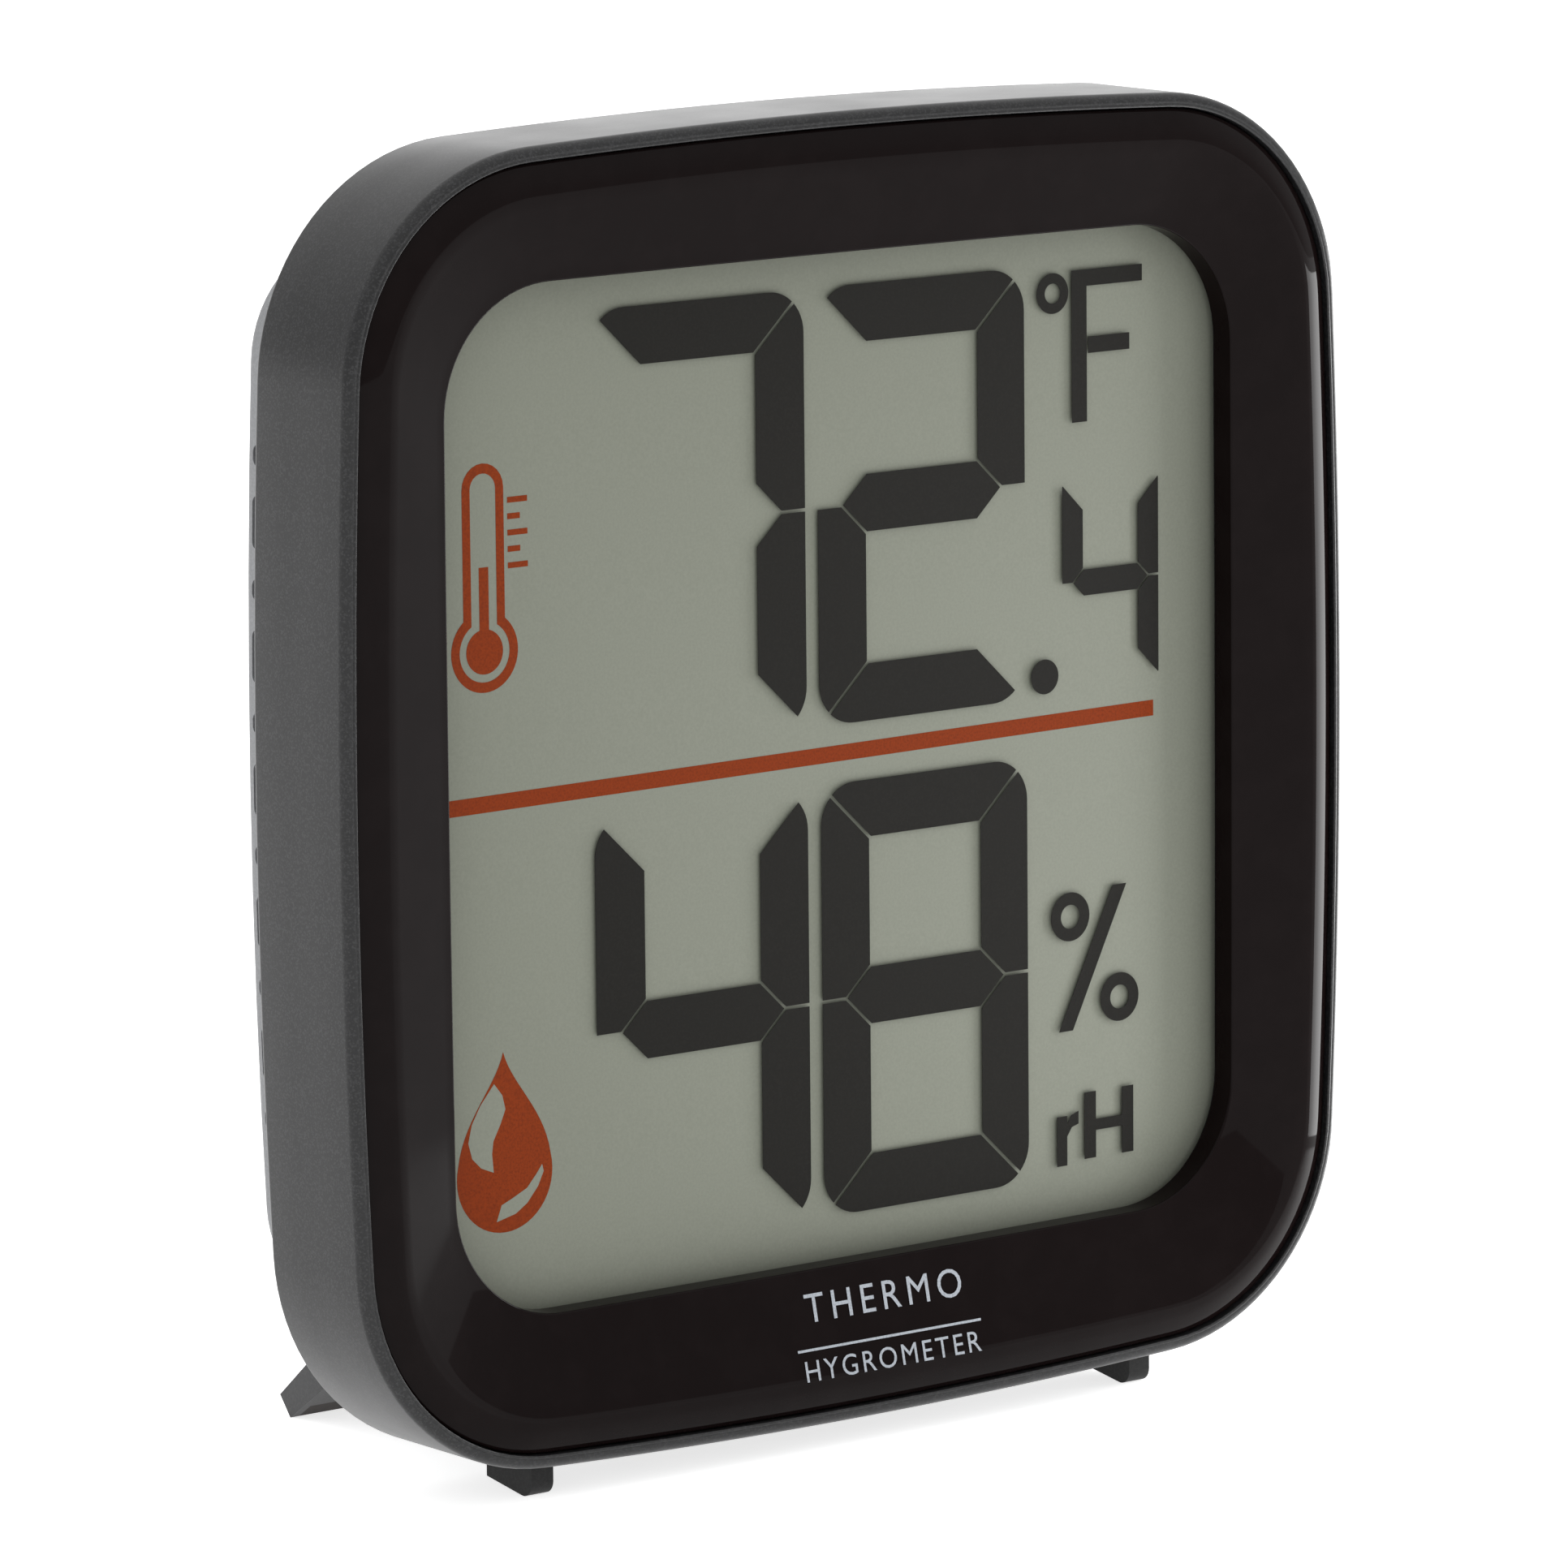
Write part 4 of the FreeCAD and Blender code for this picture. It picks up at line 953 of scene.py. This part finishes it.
@dataclass
class Drop:
    """The printed drop: a round bowl that draws up to a tip."""

    across: float = -23.0
    centre: float = -20.35
    radius: float = 3.25
    tip: float = -13.5
    shoulder_angle: float = 0.25
    side_steps: int = 14
    bowl_steps: int = 30

    def outline(self) -> Outline:
        """Walk down the right side, round the bowl and up the left side.

        Returns:
            The outline in the case's frame.
        """
        turn = self.shoulder_angle
        right = bezier(((0.0, self.tip), (0.55, self.tip - 1.9), (2.75, self.centre + 3.4),
                        (self.radius * math.cos(turn),
                         self.centre + self.radius * math.sin(turn))), self.side_steps)
        bowl = [(self.radius * math.cos(angle), self.centre + self.radius * math.sin(angle))
                for angle in (turn - (math.pi + 2 * turn) * step / self.bowl_steps
                              for step in range(1, self.bowl_steps))]
        left = [(-x, z) for x, z in reversed(right)][:-1]
        return [(self.across + x, z) for x, z in right + bowl + left]


@dataclass
class Display:
    """The film, the lit segments a little in front of it, and the prints that lie on it."""

    film_depth: float = 3.47
    film_thick: float = 0.03
    film_margin: float = 0.6
    film_bevel: Point2 = (0.02, 0.005)
    crystal_depth: float = 3.27
    crystal_thick: float = 0.02
    print_lift: float = 0.012
    print_solid: float = 0.6
    shine_lift: float = 1.5
    rule_ends: tuple[Point2, Point2] = ((-27.6, 0.36), (23.6, 0.76))
    rule_half: float = 0.46
    percent_ring: Point2 = (1.42, 0.7)
    degree_ring: Point2 = (1.16, 0.57)

    def build(self, shop: Workshop) -> None:
        """Make the film and everything that it shows.

        Args:
            shop: The workshop that makes the pieces.
        """
        bevel_in, bevel_deep = self.film_bevel
        rings = shop.sweep(WINDOW_OUTLINE, [
            (-self.film_margin, self.film_depth + self.film_thick),
            (-self.film_margin, self.film_depth + bevel_deep),
            (bevel_in - self.film_margin, self.film_depth)])
        film = shop.loft("display_film", rings, DISPLAY_FILM, closed=False)
        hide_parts("lcd_front_polariser")
        self.build_figures(shop)
        self.build_units(shop)
        self.build_prints(shop)

    def crystal(self, shop: Workshop, name: str, outlines: list[Outline]) -> None:
        """Make lit segments that cast their soft shadow on the film."""
        shop.plates(name, outlines, self.crystal_depth, self.crystal_thick, CRYSTAL)

    def crystal_ring(self, shop: Workshop, name: str, middle: Point2, radii: Point2) -> None:
        """Make a lit ring from its middle and its outer and inner radius."""
        outer, inner = (circle(*middle, radius) for radius in radii)
        shop.frame_plate(name, outer, inner, self.crystal_depth, self.crystal_thick, CRYSTAL)

    def ink(self, shop: Workshop, name: str, outlines: list[Outline], lift: float = 1.0,
            finish: Finish = ORANGE_INK) -> None:
        """Make a print that lies on the film."""
        shop.plates(name, outlines, self.film_depth - self.print_lift * lift,
                    self.print_lift * self.print_solid, finish)

    def build_figures(self, shop: Workshop) -> None:
        """Show 72.4 above and 48 below.

        Args:
            shop: The workshop that makes the pieces.
        """
        small = Digit(20.3, 8.55, wide=7.1, tall=11.6, stroke_wide=1.5, stroke_tall=1.5,
                      corner=0.25, gap=0.14)
        for name, digit, figure in (
                ("tens_of_degrees", Digit(-9.25, 14.6), "7"),
                ("degrees", Digit(6.55, 14.6), "2"),
                ("tenth_of_degree", small, "4"),
                ("tens_of_percent", Digit(-9.25, -13.45), "4"),
                ("percent", Digit(6.6, -13.45), "8")):
            self.crystal(shop, "segments_" + name, digit.outlines(figure))
        self.crystal(shop, "decimal_point", [circle(15.4, 3.4, 1.0)])

    def build_units(self, shop: Workshop) -> None:
        """Show the units: degrees, the letter F, the percent sign and rH.

        Args:
            shop: The workshop that makes the pieces.
        """
        self.crystal_ring(shop, "degree_ring", (16.1, 25.3), self.degree_ring)
        self.crystal(shop, "letter_f", [bar(*edges) for edges in LETTER_F])
        self.crystal_ring(shop, "percent_ring_upper", (17.2, -10.7), self.percent_ring)
        self.crystal_ring(shop, "percent_ring_lower", (20.85, -15.8), self.percent_ring)
        self.crystal(shop, "percent_slash", [PERCENT_SLASH])
        self.crystal(shop, "letters_rh", [bar(*LETTER_R_STEM), LETTER_R_HOOK]
                     + [bar(*edges) for edges in LETTER_H])

    def build_prints(self, shop: Workshop) -> None:
        """Print the thermometer, the drop with its reflections, and the sloping rule.

        Args:
            shop: The workshop that makes the pieces.
        """
        sign = Thermometer()
        shop.frame_plate("printed_tube", sign.stem(1.4, 2.25, 19.15), sign.stem(0.86, 1.68, 18.6),
                         self.film_depth - self.print_lift, self.print_lift * self.print_solid,
                         ORANGE_INK)
        self.ink(shop, "printed_column", [sign.stem(0.32, 1.24, 13.45, False)] + sign.ticks())
        self.ink(shop, "printed_drop", [Drop().outline()])
        self.ink(shop, "printed_drop_shine", [HIGH_SHINE, LOW_SHINE], self.shine_lift, DISPLAY_FILM)
        (left, low), (right, high) = self.rule_ends
        half = self.rule_half
        self.ink(shop, "printed_rule", [[(left, low - half), (right, high - half),
                                         (right, high + half), (left, low + half)]])


@dataclass
class Workpieces:
    """The CAD nodes, which keep their shapes here and only get their finish."""

    def dress(self) -> None:
        """Give every CAD node its finish, those that a finer mesh replaces too."""
        finishes = {
            REAR_ABS: ("rear_case", "battery_door"),
            STAND_ABS: ("stand", "unit_button"),
            # The grip's dark brown finish is painted shade of the stand's underside.
            GRIP_RUBBER_PAINTED_SHADE: ("stand_grip",),
            # The feet's finish holds painted shade from the case above them.
            FOOT_RUBBER_PAINTED_SHADE: ("foot_left", "foot_right"),
            ZINC: ("case_screws", "board_screws", "stand_pin_left", "stand_pin_right",
                   "timing_crystal"),
            NICKEL: ("battery_contact", "battery_spring", "magnet_left", "magnet_right"),
            FOAM: ("lcd_gasket",),
            GLASS: ("lcd_front_glass", "lcd_rear_glass"),
            FOIL: ("lcd_reflector",),
            WHITE_PS: ("lcd_holder", "switch_plunger"),
            BOARD: ("main_board",),
            ZEBRA: ("zebra_connector",),
            EPOXY: ("chip_cover", "unit_switch", "thermistor"),
            CERAMIC: ("chip_capacitors", "humidity_sensor"),
            MESH: ("vent_screen_left", "vent_screen_right"),
            WRAP: ("battery_cell",),
            CASE_PAINT: ("front_case",),
            PIANO_BLACK: ("gloss_bezel",),
            DISPLAY_FILM: ("lcd_front_polariser",),
        }
        for finish, names in finishes.items():
            for name in names:
                node = frame["nodes"][name]
                node.data.materials.clear()
                node.data.materials.append(finish.material())
                LOG.info("node %s: %s", name, finish.name)


@dataclass(frozen=True)
class Card:
    """A soft card of light: its place in the case's frame, its size in metres and its watts."""

    name: str
    place: tuple[float, float, float]
    wide: float
    tall: float
    power: float


RIGHT_CARD = Card("right_card", (80.0, -2.0, -7.0), 0.056, 0.060, 0.085)
BACK_CARD = Card("back_card", (260.0, 340.0, 120.0), 0.35, 0.18, 0.16)


@dataclass
class Studio:
    """A lit white table, a soft surround that is brighter overhead, two cards and the camera."""

    azimuth: float = 37.9
    elevation: float = 10.448
    roll: float = -0.205
    distance: float = 0.541
    aim: tuple[float, float, float] = (-3.3, 3.49, -0.75)
    lens: float = 222.26
    sensor: float = 36.0
    nearest: float = 0.01
    farthest: float = 20.0
    lit_depth: float = 4.5
    floor_size: float = 6.0
    surround_low: float = 0.85
    surround_high: float = 1.3

    def build(self, case: CaseFrame) -> None:
        """Set the stage round the case.

        Args:
            case: The case's frame.
        """
        self.build_floor()
        middle = case.point(0.0, self.lit_depth, 0.0)
        for card in (RIGHT_CARD, BACK_CARD):
            self.build_light(card, case.point(*card.place), middle)
        self.build_surround(bpy.context.scene)
        bpy.context.scene.view_settings.view_transform = "Standard"
        self.build_camera(bpy.context.scene, case)

    def build_surround(self, scene: Scene) -> None:
        """Light the room evenly, and more from overhead.

        Args:
            scene: The scene that is lit.
        """
        world = bpy.data.worlds.new("soft_surround")
        scene.world = world
        world.use_nodes = True
        tree = world.node_tree
        way = add_node(tree, "ShaderNodeTexCoord").outputs["Generated"]
        height = add_node(tree, "ShaderNodeSeparateXYZ", {"Vector": way}).outputs["Z"]
        level = add_node(tree, "ShaderNodeMapRange",
                         {"Value": height, "From Min": 0.0, "From Max": 1.0,
                          "To Min": self.surround_low, "To Max": self.surround_high},
                         interpolation_type="SMOOTHSTEP").outputs["Result"]
        back = tree.nodes["Background"]
        back.inputs["Color"].default_value = WHITE
        tree.links.new(level, back.inputs["Strength"])

    def build_floor(self) -> None:
        """Lay the plain pale floor."""
        half = self.floor_size / 2.0
        mesh = bpy.data.meshes.new("floor")
        mesh.from_pydata([(-half, -half, 0.0), (half, -half, 0.0), (half, half, 0.0),
                          (-half, half, 0.0)], [], [(0, 1, 2, 3)])
        floor = bpy.data.objects.new("floor", mesh)
        mesh.materials.append(FLOOR.material())
        bpy.context.scene.collection.objects.link(floor)

    def build_light(self, card: Card, place: Vector, toward: Vector) -> None:
        """Stand a soft upright card of light.

        Args:
            card: Its name, size and power.
            place: Where it stands.
            toward: The place that it faces, at its own height.
        """
        lamp = bpy.data.lights.new(card.name, "AREA")
        lamp.shape = "RECTANGLE"
        lamp.size, lamp.size_y, lamp.energy = card.wide, card.tall, card.power
        made = bpy.data.objects.new(card.name, lamp)
        made.location = place
        facing = Vector((toward.x - place.x, toward.y - place.y, 0.0))
        made.rotation_euler = facing.to_track_quat("-Z", "Y").to_euler()
        made.visible_camera = False
        bpy.context.scene.collection.objects.link(made)

    def build_camera(self, scene: Scene, case: CaseFrame) -> None:
        """Stand the camera to the left of the front and a little above.

        Args:
            scene: The scene that it looks at.
            case: The case's frame, which its aim is given in.
        """
        turn, tilt = math.radians(self.azimuth), math.radians(self.elevation)
        ahead = Vector((math.sin(turn) * math.cos(tilt), math.cos(turn) * math.cos(tilt),
                        -math.sin(tilt)))
        lens = bpy.data.cameras.new("camera")
        lens.lens, lens.sensor_width = self.lens, self.sensor
        lens.clip_start, lens.clip_end = self.nearest, self.farthest
        camera = bpy.data.objects.new("camera", lens)
        right = ahead.cross(Vector((0.0, 0.0, 1.0))).normalized()
        up = right.cross(ahead)
        basis = Matrix((right, up, -ahead)).transposed()
        level = Matrix.Rotation(math.radians(self.roll), 3, ahead)
        stand = case.point(*self.aim) - ahead * self.distance
        camera.matrix_world = Matrix.Translation(stand) @ (level @ basis).to_4x4()
        scene.collection.objects.link(camera)
        scene.camera = camera


def main() -> None:
    """Build the assemblies in order and report each piece."""
    shop = Workshop(CaseFrame.from_record())
    Workpieces().dress()
    CaseRing().build(shop)
    GlossBezel().build(shop)
    Display().build(shop)
    Studio().build(shop.case)


if __name__ == "__main__":
    main()
